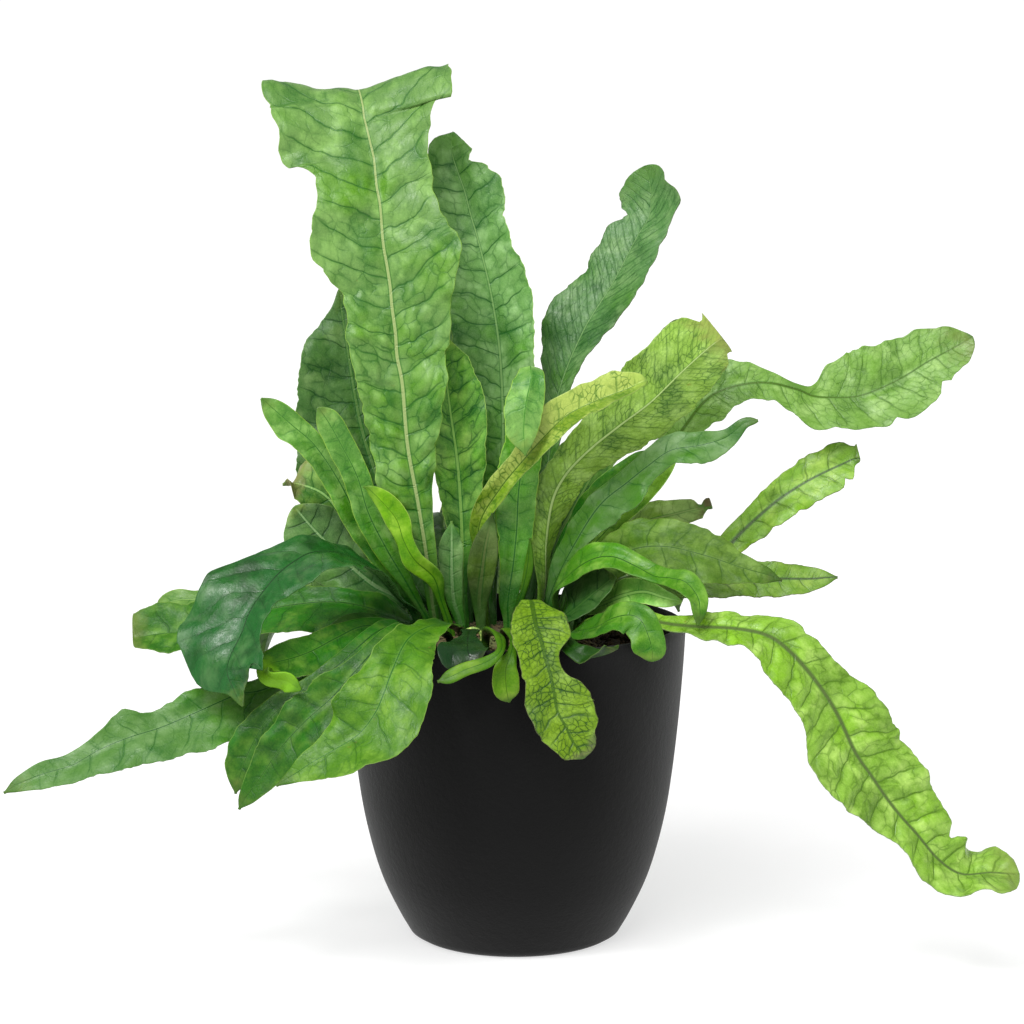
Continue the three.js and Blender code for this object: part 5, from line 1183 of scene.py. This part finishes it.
def mound_point(angle, share):
    """A point of the rhizome's surface: share goes from 0 at its foot to 1 at its top."""
    edge, top = RHIZOME["edge"], RHIZOME["top"]
    heights = np.interp(share, MOUND_SHARES, [RHIZOME["bottom"], edge, edge + 5.5, top, top + 1])
    scale = np.interp(share, MOUND_SHARES, MOUND_SPREAD)
    lump = rhizome_radius(angle)
    bump_height = 0.9 * np.sin(4 * angle + 7 * scale) * smoothstep(0.25, 0.5, share) * scale
    x = RHIZOME["x"] + RHIZOME["half_width"] * scale * lump * np.cos(angle)
    y = RHIZOME["y"] + RHIZOME["half_depth"] * scale * lump * np.sin(angle)
    return np.stack([x, y, heights + bump_height], axis=-1)


def papery_scale(angle, share):
    """One small scale that lies on the rhizome and points outward. Returns its points and quads."""
    root = mound_point(np.array(angle), np.array(share))
    out = mound_point(np.array(angle), np.array(max(share - 0.05, 0.0))) - root
    out = out / np.linalg.norm(out)
    side = np.array([-math.sin(angle), math.cos(angle), 0.0])
    normal = np.cross(out, side)
    normal = normal if normal[2] > 0 else -normal
    long = rng.uniform(*SCALE_LENGTHS)
    wide = rng.uniform(*SCALE_WIDTHS)
    rows = []
    for f, w, h in ((0, 0.7, 0.1), (0.45, 1.0, 0.7), (1, 0.08, 0.9)):
        for s in (-1, 0, 1):
            rows.append(root + out * long * f + side * wide * w * s + normal * (h + 0.3 * (s == 0)))
    top = np.array(rows)
    return np.concatenate([top, top - normal * 0.3]), grid_faces(3, 3)


def build_rhizome():
    angles = np.linspace(0, 2 * np.pi, MOUND_TURNS, endpoint=False)
    shares = np.linspace(0, 1, MOUND_RINGS)
    a, s = np.meshgrid(angles, shares)
    surface = mound_point(a, s)
    dents = np.sin(surface[..., 0] / 2.9) * np.sin(surface[..., 1] / 2.5 + 1)
    surface[..., 2] += 0.5 * dents * smoothstep(0.2, 0.5, s)
    closing = surface[-1:].mean(axis=1, keepdims=True) * np.ones((1, MOUND_TURNS, 1))
    flat = surface[:1] * [0, 0, 1] + [RHIZOME["x"], RHIZOME["y"], 0]
    sheet = np.concatenate([flat, surface, closing + (surface[-1:] - closing) * 0.05])
    parts = [(sheet.reshape(-1, 3), ring_quads(len(sheet), MOUND_TURNS))]
    for _ in range(SCALE_COUNT):
        parts.append(papery_scale(rng.uniform(0, 2 * np.pi), rng.uniform(0.28, 0.95)))
    piece = new_mesh("rhizome_mound", *merged(parts))
    piece.data.materials.append(rhizome_material())
    finish_piece(piece, "rhizome")


def crozier_material():
    material, graph, shader = new_material("crozier_green")
    place = graph.object_place()
    down = graph.noise(place, 700.0, 2.0)
    colour = graph.blend(linear("6f8f3c"), linear("a8bf5c"), graph.ramp(down, 0.4, 0.65))
    graph.put(shader.inputs["Base Color"], colour)
    shader.inputs["Roughness"].default_value = 0.6
    bump(graph, shader, down, 0.8, 0.3 * MM)
    return material


def crozier_centre(t):
    c = CROZIER
    f = np.clip((t - c["straight"]) / (1 - c["straight"]), 0, 1)
    angle = 2 * np.pi * c["turns"] * f
    radius = c["coil"] * (1 - c["tightening"] * f)
    climb = c["bottom"] + c["stem"] * np.minimum(t / c["straight"], 1)
    x = c["x"] + c["coil"] - radius * np.cos(angle)
    return np.stack([x, c["y"] - c["lean"] * f, climb + radius * np.sin(angle)], axis=-1)


def build_crozier():
    """A young shoot whose end is still rolled up, with a rib along its back."""
    rings, turns = 110, 14
    t = np.linspace(0, 1, rings)
    centre = crozier_centre(t)
    tangent = unit(np.gradient(centre, axis=0))
    side = unit(np.cross(tangent, [[0.0, 1.0, 0.0]]))
    other = np.cross(tangent, side)
    spin = np.linspace(0, 2 * np.pi, turns, endpoint=False)
    radius = CROZIER["thickness"] * (1.15 - 0.5 * t)[:, None] * (1 + 0.18 * np.cos(3 * spin))
    points = (centre[:, None] + side[:, None] * (radius * np.cos(spin))[..., None]
        + other[:, None] * (radius * np.sin(spin))[..., None])
    points = np.concatenate([centre[:1, None] * np.ones((1, turns, 1)), points,
        centre[-1:, None] * np.ones((1, turns, 1))])
    piece = new_mesh("furled_shoot", points.reshape(-1, 3), ring_quads(rings + 2, turns))
    piece.data.materials.append(crozier_material())
    finish_piece(piece, "crozier")


# Stage

def build_floor():
    bpy.ops.mesh.primitive_plane_add(size=FLOOR_SIZE, location=(0, 0, 0))
    floor = bpy.context.active_object
    floor.name = "floor"
    material, _, shader = new_material("floor_white")
    shader.inputs["Base Color"].default_value = (FLOOR_GREY, FLOOR_GREY, FLOOR_GREY, 1)
    shader.inputs["Roughness"].default_value = 0.9
    shader.inputs["Specular IOR Level"].default_value = 0.0
    shader.inputs["Emission Color"].default_value = (1, 1, 1, 1)
    shader.inputs["Emission Strength"].default_value = FLOOR_GLOW
    floor.data.materials.append(material)


def add_light(name, kind, energy, turn_degrees):
    light = bpy.data.lights.new(name, kind)
    light.energy = energy
    lamp = link_object(name, light)
    lamp.rotation_euler = [math.radians(angle) for angle in turn_degrees]
    return lamp


def build_light():
    """A pale sky, a broad soft sun and a small round lamp for the glints."""
    world = bpy.data.worlds.new("studio")
    bpy.context.scene.world = world
    world.use_nodes = True
    background = world.node_tree.nodes["Background"]
    graph = Graph(world.node_tree)
    height = graph.split(graph.node("ShaderNodeTexCoord").outputs["Generated"])[2]
    sky = graph.blend((1, 1, 1, 1), (SKY_TOP, SKY_TOP, SKY_TOP, 1), graph.ramp(height, 0.12, 0.4))
    graph.put(background.inputs["Color"], sky)
    background.inputs["Strength"].default_value = SKY_STRENGTH
    key = add_light("key", "SUN", KEY_ENERGY, KEY_TURN)
    key.data.angle = math.radians(KEY_SPREAD)
    glint = add_light("glint", "AREA", GLINT_ENERGY, GLINT_TURN)
    glint.data.shape = "DISK"
    glint.data.size = GLINT_SIZE
    glint.location = GLINT_PLACE


def build_camera():
    camera = bpy.data.cameras.new("camera")
    camera.lens = LENS
    camera.sensor_width = SENSOR_WIDTH
    eye = link_object("camera", camera)
    eye.location = CAMERA_PLACE
    eye.rotation_euler = (math.radians(90 - CAMERA_PITCH), 0, 0)
    bpy.context.scene.camera = eye
    bpy.context.scene.view_settings.view_transform = "Standard"


build_camera()
build_light()
build_floor()
build_pot()
build_mix()
build_rhizome()
build_crozier()
build_fronds()
